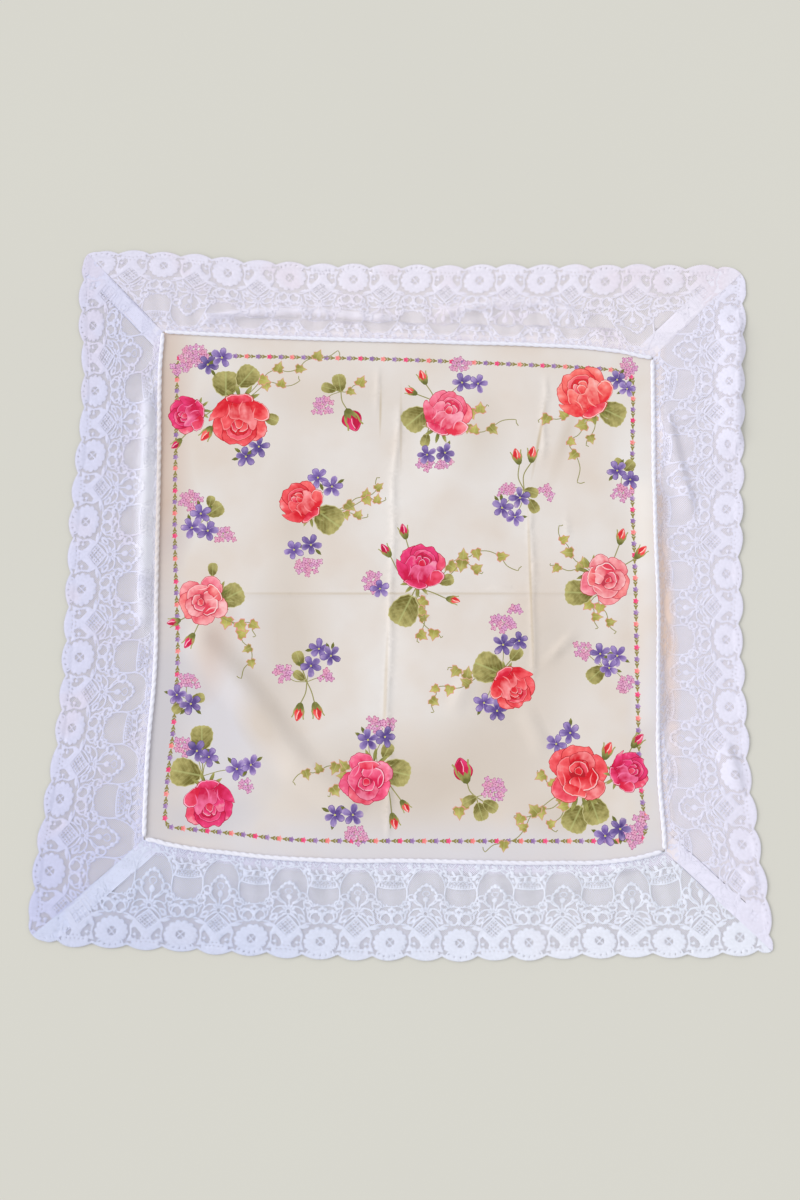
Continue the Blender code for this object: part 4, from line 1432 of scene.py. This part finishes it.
def printed_panel():
    chance = np.random.default_rng(DRAWING)
    prints = []
    line(prints, panel_outline(3.0, -EDGE), (255, 255, 255), "cloth")
    border(prints)
    for rows in NOSEGAYS:
        nosegay(prints, chance, rows)
    inner = lattice([-reach for reach in PANEL_REACH], PANEL_REACH, PANEL_PITCH)
    loose = np.vstack([inner, fold_points(PANEL_PITCH)])
    shapes = [Shape(row.outline, True) for row in prints]
    plan, triangles, tops = cut_shapes(shapes, loose[in_panel(loose, 2.0)])

    def picked(field):
        return np.array([getattr(row, field) for row in prints])[tops]

    offset = plan[triangles] - picked("middle")[:, None, :]
    # along, across, and a number that gives each print streaks of its own
    local = np.stack([
        np.einsum("tcx,tx->tc", offset, picked("along")),
        np.einsum("tcx,tx->tc", offset, picked("across")),
        np.broadcast_to(tops[:, None] * 0.37 % 17, triangles.shape),
    ], axis=-1)
    attributes = [
        ("flat", "POINT", np.column_stack([plan, np.zeros(len(plan))])), ("local", "CORNER", local),
        ("light", "CORNER", np.repeat(srgb(picked("light")), 3, axis=0)),
        ("deep", "CORNER", np.repeat(srgb(picked("deep")), 3, axis=0)),
    ]
    kinds = np.array([KINDS.index(row.kind) for row in prints])[tops]
    return mesh_piece("printed_cloth", lay(plan, PANEL_RISE), triangles, attributes, kinds)


# The lace pieces

BODY_RISE = 0.55  # of the net
WORK_RISE = 0.15  # of a thread's edge over the net
THREAD_RISE = 0.27  # of a thread's middle over its edge
WORK_PITCH = 4.2  # between the points within the work
GROUND_PITCH = 3.2


def strip_lattice(side, pitch):
    """Points of a lattice between a strip's mitres."""
    length = seam_length(side)
    points = lattice((-LACE_WIDTH - 2, EDGE), (length + LACE_WIDTH + 2, LACE_WIDTH + 1), pitch)
    u, v = points[:, 0], points[:, 1]
    return points[(u + v > -LAP_RUN) & (u - v < length)]


def lace_work(side):
    """The raised threads and the close cloth of a strip."""
    shapes, spines = lace_shapes(side)
    flat, triangles, _ = cut_shapes(shapes, np.vstack([strip_lattice(side, WORK_PITCH), spines]))
    edge = on_edge(len(flat), triangles)
    points = lay_lace(side, flat, BODY_RISE, WORK_RISE + THREAD_RISE * ~edge)
    attributes = [("flat", "POINT", np.column_stack([flat, edge]))]
    return mesh_piece(side.name + "_lace_work", points, triangles, attributes)


# How much of the outer edge is worked close at the end of a strip
TIPS = {"top": 36, "right": 34, "bottom": 20, "left": 40}
TIP_FROM = 84.0  # how far out that begins
PAST_TIPS = 108.0
NET_INSET = 0.7  # from the band's edge to the net's
NET_PAST = 140.0

# How close the net is: in the open, where it lies under a neighbour, at the tip and in the lap
DENSE = np.array([0.0, 0.85, 0.8, 0.96])


def slanted(start, end, low, high, lean):
    """A slanted band between two distances out."""
    return np.array([(start, low), (end, low), (end + lean, high), (start + lean, high)])


def lace_ground(side):
    """The net of a strip, and its flat area."""
    length = seam_length(side)
    band = outer_band(side)
    tips = band[: len(band) * 2 // 3 : 2] - [0, NET_INSET]  # every second point of its outer edge
    whole = np.vstack([[-1.5 * LACE_WIDTH, EDGE - 1], [length + LACE_WIDTH, EDGE - 1], tips[::-1]])
    under = slanted(-LAP_RUN - 4, -0.5, -1, PAST_TIPS - 1, -PAST_TIPS)
    tip_end = length + TIP_FROM
    tip = slanted(tip_end - TIPS[side.name], tip_end + 2, TIP_FROM, PAST_TIPS, PAST_TIPS - TIP_FROM)
    lap = slanted(length - LAP_RUN - 2.5, length + 2, -1, PAST_TIPS, PAST_TIPS)
    outside = np.vstack([tips, [(tips[-1, 0], NET_PAST), (tips[0, 0], NET_PAST)]])
    shapes = [Shape(p, True) for p in (whole, under, tip, lap)]
    shapes += [Shape(p, False) for p in (*beyond(side), outside)]
    flat, triangles, tops = cut_shapes(shapes, strip_lattice(side, GROUND_PITCH))
    density = np.repeat(DENSE[tops], 3).reshape(-1, 3)
    plan = place(side, flat)
    for fold in FOLDS:
        if fold.doubled:
            doubled = fold.doubled * smooth(1.6 * ridge(fold, plan) - 0.3)
            density = np.maximum(density, doubled[triangles])
    corners = flat[triangles]
    a, b = corners[:, 1] - corners[:, 0], corners[:, 2] - corners[:, 0]
    flat_area = float(np.abs(a[:, 0] * b[:, 1] - a[:, 1] * b[:, 0]).sum() / 2)
    attributes = [("flat", "CORNER", np.concatenate([corners, density[:, :, None]], axis=-1))]
    points = lay_lace(side, flat, BODY_RISE, 0.0)
    return mesh_piece(side.name + "_lace_ground", points, triangles, attributes), flat_area


# The seams: two strands of thick thread, twisted

TWIST = 17.0
STRAND = 1.75
STRAND_OUT = 0.6
FLATTEN = 0.5
SEAM_RISE = 2.0
SEAM_STEP = 1.5
SEAM_ENDS = (2.4, 0.6)  # left free at the start and at the end
STRAND_SIDES = 8


def seam_cord(side):
    length, n = seam_length(side), STRAND_SIDES
    run = np.arange(SEAM_ENDS[0], length - SEAM_ENDS[1], SEAM_STEP)
    middle = seam_point(side, run / length, 0.0)
    outward = turned(unit(np.gradient(middle, axis=0)))
    places = np.arange(len(run))
    taper = np.minimum(1, 0.35 + np.minimum(places, places[::-1]) / 2)
    points, triangles = [], []
    for strand in (0, math.pi):
        phase = 2 * np.pi * run / TWIST + strand + 0.35 * np.sin(run / 23)
        fat = STRAND * taper * (1 + 0.06 * np.sin(run * 1.7 + strand))
        beside = STRAND_OUT * np.cos(phase)[:, None] + fat[:, None] * np.cos(around(n))
        up = STRAND_OUT * np.sin(phase)[:, None] + fat[:, None] * np.sin(around(n))
        plan = middle[:, None, :] + outward[:, None, :] * beside[:, :, None]
        first = n * len(run) * len(points)
        points.append(lay(plan.reshape(-1, 2), (SEAM_RISE + FLATTEN * up).ravel()))
        for i in range(len(run) - 1):
            for j in range(n):
                a, b = first + n * i + j, first + n * i + (j + 1) % n
                triangles += [(a, b, b + n), (a, b + n, a + n)]
        last = first + n * (len(run) - 1)
        for j in range(1, n - 1):
            triangles += [(first, first + j + 1, first + j), (last, last + j, last + j + 1)]
    points = np.vstack(points)
    return mesh_piece(side.name + "_seam", points, np.array(triangles), [("flat", "POINT", points)])


# Materials


class Shader:
    """A procedural material, built node by node."""

    def __init__(self, name, colour=(1, 1, 1), roughness=0.8, specular=0.2, sheen=0.0):
        self.material = bpy.data.materials.new(name)
        self.material.use_nodes = True
        self.tree = self.material.node_tree
        self.surface = self.tree.nodes["Principled BSDF"]
        self.surface.inputs["Base Color"].default_value = (*colour, 1)
        self.surface.inputs["Roughness"].default_value = roughness
        self.surface.inputs["Specular IOR Level"].default_value = specular
        self.surface.inputs["Sheen Weight"].default_value = sheen

    def put(self, value, socket):
        if isinstance(value, bpy.types.NodeSocket):
            self.tree.links.new(value, socket)
        else:
            socket.default_value = value

    def node(self, kind, *values, **settings):
        made = self.tree.nodes.new(kind)
        for name, value in settings.items():
            setattr(made, name, value)
        for value, socket in zip(values, made.inputs):
            if value is not None:
                self.put(value, socket)
        return made

    def sum(self, operation, a, b=0.0, c=0.0):
        return self.node("ShaderNodeMath", a, b, c, operation=operation).outputs[0]

    def attribute(self, name):
        return self.node("ShaderNodeAttribute", attribute_name=name).outputs["Vector"]

    def object_place(self):
        return self.node("ShaderNodeTexCoord").outputs["Object"]

    def vector(self, operation, *values):
        return self.node("ShaderNodeVectorMath", *values, operation=operation).outputs

    def parts(self, vector):
        return self.node("ShaderNodeSeparateXYZ", vector).outputs[:3]

    def noise(self, vector, scale, detail=2.0):
        made = self.node("ShaderNodeTexNoise")
        self.put(vector, made.inputs["Vector"])
        made.inputs["Scale"].default_value = scale
        made.inputs["Detail"].default_value = detail
        return made.outputs["Fac"]

    def spread(self, value, low, high, to_low=0.0, to_high=1.0):
        """A value carried from one span to another, and held at its ends."""
        return self.node("ShaderNodeMapRange", value, low, high, to_low, to_high).outputs[0]

    def mix(self, part, a, b, blend="MIX"):
        made = self.node("ShaderNodeMix", data_type="RGBA", blend_type=blend)
        self.put(part, made.inputs[0])
        for value, socket in ((a, made.inputs[6]), (b, made.inputs[7])):
            self.put(value if isinstance(value, bpy.types.NodeSocket) else (*value, 1), socket)
        return made.outputs[2]

    def colour(self, value):
        self.put(value, self.surface.inputs["Base Color"])

    def bump(self, height, strength, distance):
        made = self.node("ShaderNodeBump")
        made.inputs["Strength"].default_value = strength
        made.inputs["Distance"].default_value = distance * MM
        self.put(height, made.inputs["Height"])
        self.put(made.outputs[0], self.surface.inputs["Normal"])


# The whites of a strip's threads and net, how much of the net's pitch a thread takes, and the tone by the
# seam. The strips are one lace: their whites and covers differ from side to side as painted light and
# shade, and the tone by the seam is painted shade and light along it.
Tint = namedtuple("Tint", "thread net cover hem")
TINTS = {
    "top": Tint((241, 237, 251), (251, 242, 246), 0.44, (244, 236, 243)),
    "right": Tint((237, 235, 253), (248, 240, 252), 0.45, (243, 231, 232)),
    "bottom": Tint((239, 242, 255), (240, 236, 255), 0.33, (232, 228, 246)),
    "left": Tint((234, 233, 252), (244, 235, 242), 0.36, (244, 240, 250)),
}
CLOTH_WHITE = srgb((236, 228, 222))
CLOTH_COOL = srgb((230, 225, 222))
CLOTH_WARM = srgb((223, 211, 201))
PETAL_TIP = srgb((252, 222, 220))
LEAF_VEIN = srgb((190, 196, 128))
SEAM_WHITE = srgb((246, 246, 255))
SEAM_SHADE = srgb((234, 234, 250))
FLOOR = srgb((217, 216, 207))
FLOOR_DARK = srgb((215, 213, 205))
CLOTH_PITCH, SEAM_PITCH, LACE_PITCH, NET_PITCH = 0.9, 1.0, 1.3, 1.25  # between threads


def weave(shader, flat, pitch):
    """The threads of a plain weave, as a height from 0 to 1."""
    x, y, _ = shader.parts(flat)
    rows = [shader.sum("SINE", shader.sum("MULTIPLY", axis, 2 * math.pi / pitch)) for axis in (x, y)]
    return shader.sum("MULTIPLY_ADD", shader.sum("MULTIPLY", rows[0], rows[1]), 0.5, 0.5)


# Soft patches of painted shade and light on the cloth: warm, brown, grey and cool shade along the folds
# and creases and by the left seam, where the lace's pleat shades it, and paler patches of painted light.
# px and py are the pixel of the photo at the middle of a patch, and along and across are how far it
# reaches along its heading and across it.
Patch = namedtuple("Patch", "px py along across heading tone strength")
SHADING_TONES = {
    "tan": (210, 197, 184), "cool": (216, 213, 220), "grey": (204, 200, 206), "brown": (208, 185, 171),
    "white": (240, 237, 236), "shade": (246, 222, 210), "light": (249, 248, 255),
    "dull": (224, 213, 208), "crease": (202, 186, 162),
}
CLOTH_SHADING_PATCHES = [
    Patch(215, 735, 150, 80, 80, "cool", 0.85),
    Patch(410, 852, 420, 48, 0, "cool", 0.8),
    Patch(665, 740, 200, 44, 92, "cool", 0.7),
    Patch(425, 782, 190, 62, 2, "tan", 0.85),
    Patch(500, 735, 70, 60, 30, "tan", 0.55),
    Patch(290, 640, 95, 44, 92, "tan", 0.7),
    Patch(262, 692, 100, 20, -52, "tan", 0.65),
    Patch(545, 650, 100, 56, 80, "tan", 0.6),
    Patch(472, 428, 56, 44, 90, "tan", 0.55),
    Patch(340, 400, 90, 36, 0, "tan", 0.35),
    Patch(292, 520, 90, 34, 90, "tan", 0.5),
    Patch(420, 470, 110, 40, 60, "white", 0.5),
    Patch(395, 640, 70, 50, 60, "white", 0.4),
    Patch(640, 480, 110, 30, 90, "white", 0.4),
    Patch(214, 645, 62, 26, 84, "brown", 0.6),
    Patch(264, 728, 46, 24, -52, "tan", 0.8),
    Patch(198, 815, 70, 30, 4, "grey", 0.75),
    Patch(560, 815, 60, 30, 0, "tan", 0.6),
    Patch(498, 690, 30, 34, 0, "tan", 1.0),
    Patch(225, 410, 40, 30, 0, "grey", 0.5),
    Patch(565, 440, 60, 10, 72, "tan", 0.7),
    # thin lines of painted shade along the pressed creases
    Patch(538.5, 441, 44, 2.4, 79, "crease", 0.9),
    Patch(530.5, 592, 92, 2.2, 91, "crease", 0.8),
    Patch(401, 428, 54, 2.0, 90, "crease", 0.5),
    Patch(385.5, 690, 74, 2.2, 88, "crease", 0.5),
    Patch(380.5, 412, 32, 1.6, 89, "crease", 0.7),
    Patch(400, 594, 262, 1.8, 0, "crease", 0.5),
    # painted shadow that the lace's pleat casts along the left margin
    Patch(158, 450, 240, 40, 90, "brown", 1.0),
    Patch(158, 740, 230, 44, 88, "grey", 0.9),
]
# painted shade on the left seam, where the lace's pleat lies over it
SEAM_SHADE_PATCHES = [Patch(157, 505, 175, 30, 90, "dull", 0.85)]
# painted shade in the groove beside the right seam, and painted light on the shaded flank of the left
# pleat
LACE_SHADING_PATCHES = [
    Patch(665.5, 618, 170, 12, 91.5, "shade", 1.0),
    Patch(150, 515, 170, 18, 92, "light", 1.0),
]


def patch_part(shader, patch, flat, noise):
    """How much of a patch's tone there is at a place."""
    middle = (*from_image(patch.px, patch.py), 0)
    back = -math.radians(patch.heading)
    straight = shader.node("ShaderNodeVectorRotate", flat, middle, None, back, rotation_type="Z_AXIS")
    offset = shader.vector("SUBTRACT", straight.outputs[0], middle)[0]
    parts = shader.vector("MULTIPLY", offset, (1 / patch.along, 1 / patch.across, 0))[0]
    away = shader.vector("LENGTH", parts)["Value"]
    away = shader.sum("MULTIPLY_ADD", shader.sum("SUBTRACT", noise, 0.5), 1.0, away)
    return shader.spread(away, 1.0, 0.2, 0.0, patch.strength)


def petal_colour(shader, flat, along, across, seed, light, deep):
    """Streaks along a petal and a soft wash, palest at its tip."""
    long, wide = shader.sum("MULTIPLY", along, 0.8), shader.sum("MULTIPLY", across, 2.4)
    streaks = shader.node("ShaderNodeCombineXYZ", long, wide, seed).outputs[0]
    stroke = shader.sum("SUBTRACT", shader.noise(streaks, 1.3), 0.5)
    cloud = shader.sum("SUBTRACT", shader.noise(flat, 0.12), 0.5)
    part = shader.sum("MULTIPLY_ADD", stroke, 0.9, shader.spread(along, 0.05, 1.0))
    part = shader.sum("MULTIPLY_ADD", cloud, 1.5, part)
    body = shader.mix(shader.spread(part, 0.18, 0.92), deep, light)
    return shader.mix(shader.spread(part, 0.92, 1.5, 0.0, 0.62), body, PETAL_TIP)


def leaf_colour(shader, flat, along, across, light, deep):
    """A mottled leaf with a rib and slanting veins."""
    off = shader.sum("ABSOLUTE", across)
    slant = shader.sum("MULTIPLY_ADD", off, -0.75, along)
    veins = shader.sum("PINGPONG", shader.sum("MULTIPLY", slant, 6.5), 0.5)
    vein = shader.spread(veins, 0.0, 0.13, 1.0, 0.0)
    rib = shader.spread(off, 0.015, 0.05, 1.0, 0.0)
    lines = shader.sum("MAXIMUM", shader.sum("MULTIPLY", vein, 0.55), rib)
    mottle = shader.sum("SUBTRACT", shader.noise(flat, 0.16, 3), 0.5)
    part = shader.sum("MULTIPLY_ADD", mottle, 1.8, shader.spread(along, 0, 1))
    body = shader.mix(shader.spread(part, 0.0, 1.0), deep, light)
    return shader.mix(shader.sum("MULTIPLY", lines, 0.55), body, LEAF_VEIN)


def cloth_materials():
    found = []
    for kind in KINDS:
        shader = Shader("print_" + kind, CLOTH_WHITE, 0.75, 0.25, 0.1)
        flat, light, deep = (shader.attribute(name) for name in ("flat", "light", "deep"))
        along, across, seed = shader.parts(shader.attribute("local"))
        if kind == "cloth":
            tint = shader.noise(flat, 0.012, 3)
            cloth = shader.mix(shader.spread(tint, 0.3, 0.7), CLOTH_COOL, CLOTH_WARM)
            # soft patches of painted shade and light over the cloth's own tint
            for patch in CLOTH_SHADING_PATCHES:
                cloth = shader.mix(patch_part(shader, patch, flat, tint), cloth, srgb(SHADING_TONES[patch.tone]))
            shader.colour(cloth)
        elif kind == "petal":
            shader.colour(petal_colour(shader, flat, along, across, seed, light, deep))
        elif kind == "leaf":
            shader.colour(leaf_colour(shader, flat, along, across, light, deep))
        else:
            shader.colour(light)
        shader.bump(weave(shader, flat, CLOTH_PITCH), 0.25, 0.05)
        found.append(shader.material)
    return found


SHADE = (0.76, 0.79, 0.91)
SHADE_ACROSS = (-0.06, -0.36)  # metres, from where it begins to where it is full
SHADE_NEAR = (-0.15, -0.35)


def shaded(shader, colour):
    """A white that turns bluer and darker to the left, and most in the near corner there."""
    x, y, _ = shader.parts(shader.object_place())
    left = shader.spread(x, *SHADE_ACROSS, 0.0, 0.5)
    low = shader.spread(y, *SHADE_NEAR, 0.0, 0.68)
    near = shader.sum("MULTIPLY", low, shader.spread(x, 0.15, -0.15))
    dark = shader.mix(1.0, colour, SHADE, blend="MULTIPLY")
    return shader.mix(shader.sum("ADD", left, near), colour, dark)


def with_painted_shading(shader, colour, strength):
    """A white of the lace with its patches of painted shade and light, and how much of them there is."""
    plan = shader.vector("MULTIPLY", shader.object_place(), (1 / MM, 1 / MM, 0))[0]
    cloud = shader.noise(plan, 0.03)
    whole = 0.0
    for patch in LACE_SHADING_PATCHES:
        part = shader.sum("MULTIPLY", patch_part(shader, patch, plan, cloud), strength)
        colour = shader.mix(part, colour, srgb(SHADING_TONES[patch.tone]))
        whole = shader.sum("MAXIMUM", whole, part)
    return colour, whole


# The most of a faint pink painted into the threads as reflected light
PINK_REFLECTION = {"top": 0.5, "right": 0.12, "bottom": 0.12, "left": 0.5}


def lace_material(side):
    white = srgb(TINTS[side.name].thread)
    shader = Shader("lace_thread_" + side.name, white, 0.8, 0.25, 0.2)
    flat = shader.attribute("flat")
    threads = weave(shader, flat, LACE_PITCH)
    mottle = shader.noise(flat, 0.35, 3)
    tone = shader.sum("MULTIPLY_ADD", threads, 0.3, shader.spread(mottle, 0.3, 0.7))
    # painted pink reflection, in soft patches at random
    blush = shader.spread(shader.noise(flat, 0.018), 0.52, 0.66, 0.0, PINK_REFLECTION[side.name])
    white = shader.mix(blush, shaded(shader, white), white * [0.96, 0.88, 0.87])
    # the threads take the patches of painted shade and light too
    white = with_painted_shading(shader, white, 0.75)[0]
    dim = shader.mix(0.09, white, (0, 0, 0))
    shader.colour(shader.mix(shader.spread(tone, 0.0, 1.2), dim, white))
    shader.bump(threads, 0.5, 0.2)
    return shader.material


# From the seam: where the net begins to close and where it is closest, and the same for its painted shade
# and light there
NET_CLOSES = (12.0, 8.0)
HEM_TURNS = (16.0, 4.0)


def net_material(side):
    tint = TINTS[side.name]
    thread, net_white = srgb(tint.thread), srgb(tint.net)
    shader = Shader("lace_net_" + side.name, net_white, 0.85, 0.15, 0.1)
    flat = shader.attribute("flat")
    x, y, dense = shader.parts(flat)
    turn = math.sqrt(0.5)
    rows = []
    for sign in (1, -1):
        run = shader.sum("MULTIPLY_ADD", y, sign * turn, shader.sum("MULTIPLY", x, turn))
        run = shader.sum("FRACT", shader.sum("MULTIPLY", run, 1 / NET_PITCH))
        rows.append(shader.sum("LESS_THAN", run, tint.cover))
    mottle = shader.noise(flat, 0.4, 3)
    close = shader.sum("MAXIMUM", dense, shader.spread(y, *NET_CLOSES, 0.0, 0.7))
    mottled = shader.sum("MULTIPLY", close, shader.spread(mottle, 0.3, 0.5, 0.8, 1.0))
    alpha = shader.sum("MAXIMUM", shader.sum("MAXIMUM", *rows), mottled)
    body = shader.mix(shader.sum("MAXIMUM", mottle, dense), net_white, thread)
    # painted shade and light along the seam
    body = shader.mix(shader.spread(y, *HEM_TURNS, 0.0, 0.85), body, srgb(tint.hem))
    # patches of painted shade and light, which also close the net there
    body, part = with_painted_shading(shader, body, 1.0)
    alpha = shader.sum("MAXIMUM", alpha, shader.sum("MULTIPLY", part, 0.85))
    shader.put(alpha, shader.surface.inputs["Alpha"])
    shader.colour(shaded(shader, body))
    return shader.material


def seam_material():
    shader = Shader("seam_thread", SEAM_WHITE, 0.7, 0.3, 0.2)
    flat = shader.attribute("flat")
    white = shader.mix(shader.noise(flat, 0.6), SEAM_WHITE, SEAM_SHADE)
    # painted shade from its patches
    for patch in SEAM_SHADE_PATCHES:
        part = patch_part(shader, patch, flat, shader.noise(flat, 0.2))
        white = shader.mix(part, white, srgb(SHADING_TONES[patch.tone]))
    shader.colour(white)
    shader.bump(weave(shader, flat, SEAM_PITCH), 0.5, 0.2)
    return shader.material


def floor_material():
    shader = Shader("floor", FLOOR, 0.95, 0.0)
    tone = shader.noise(shader.object_place(), 3.0)
    shader.colour(shader.mix(tone, FLOOR, FLOOR_DARK))
    return shader.material


# The scene


def build():
    cloth = printed_panel()
    for material in cloth_materials():
        cloth.data.materials.append(material)
    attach(cloth, "root")
    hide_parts("panel")
    thread = seam_material()
    for side in SIDES:
        work = lace_work(side)
        ground, flat_area = lace_ground(side)
        work.data.materials.append(lace_material(side))
        ground.data.materials.append(net_material(side))
        for piece in (work, ground):
            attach(piece, "root")
            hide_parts("lace_" + side.name)
        cord = seam_cord(side)
        cord.data.materials.append(thread)
        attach(cord, "root")
        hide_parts("seam_" + side.name)


FLOOR_REACH = 6.0  # metres

# The light falls from a wide window on the left, and from all around
WINDOW_FROM = Vector((-1.0, 0.15, 0.62))
WINDOW_POWER = 1.55
WINDOW_SPREAD = math.radians(40)
WINDOW_COLOUR = (1.0, 0.98, 0.95)
ROOM_POWER = 0.76
ROOM_COLOUR = (0.98, 0.99, 1.0, 1)


def stage():
    mesh = bpy.data.meshes.new("floor")
    corners = [(x * FLOOR_REACH, y * FLOOR_REACH, 0) for x, y in ((-1, -1), (1, -1), (1, 1), (-1, 1))]
    mesh.from_pydata(corners, [], [(0, 1, 2, 3)])
    mesh.materials.append(floor_material())
    floor = add("floor", mesh)

    light = bpy.data.lights.new("window", "SUN")
    light.energy = WINDOW_POWER
    light.angle = WINDOW_SPREAD
    light.color = WINDOW_COLOUR
    add("window", light).rotation_euler = WINDOW_FROM.to_track_quat("Z", "Y").to_euler()

    world = bpy.data.worlds.new("room")
    world.use_nodes = True
    background = world.node_tree.nodes["Background"]
    background.inputs["Color"].default_value = ROOM_COLOUR
    background.inputs["Strength"].default_value = ROOM_POWER
    bpy.context.scene.world = world
    bpy.context.scene.view_settings.view_transform = "Standard"


def camera():
    data = bpy.data.cameras.new("camera")
    data.sensor_width = SENSOR
    data.lens = SENSOR * FOCAL / IMAGE[1]
    made = add("camera", data)
    lean, upright = math.sin(CAMERA_TILT), math.cos(CAMERA_TILT)
    x, y = FRAME_OFFSET
    made.location = np.array([x, y - CAMERA_DISTANCE * lean, CAMERA_DISTANCE * upright]) * MM
    made.rotation_euler = (CAMERA_TILT, 0, 0)
    bpy.context.scene.camera = made


build()
stage()
camera()
bpy.context.view_layer.update()
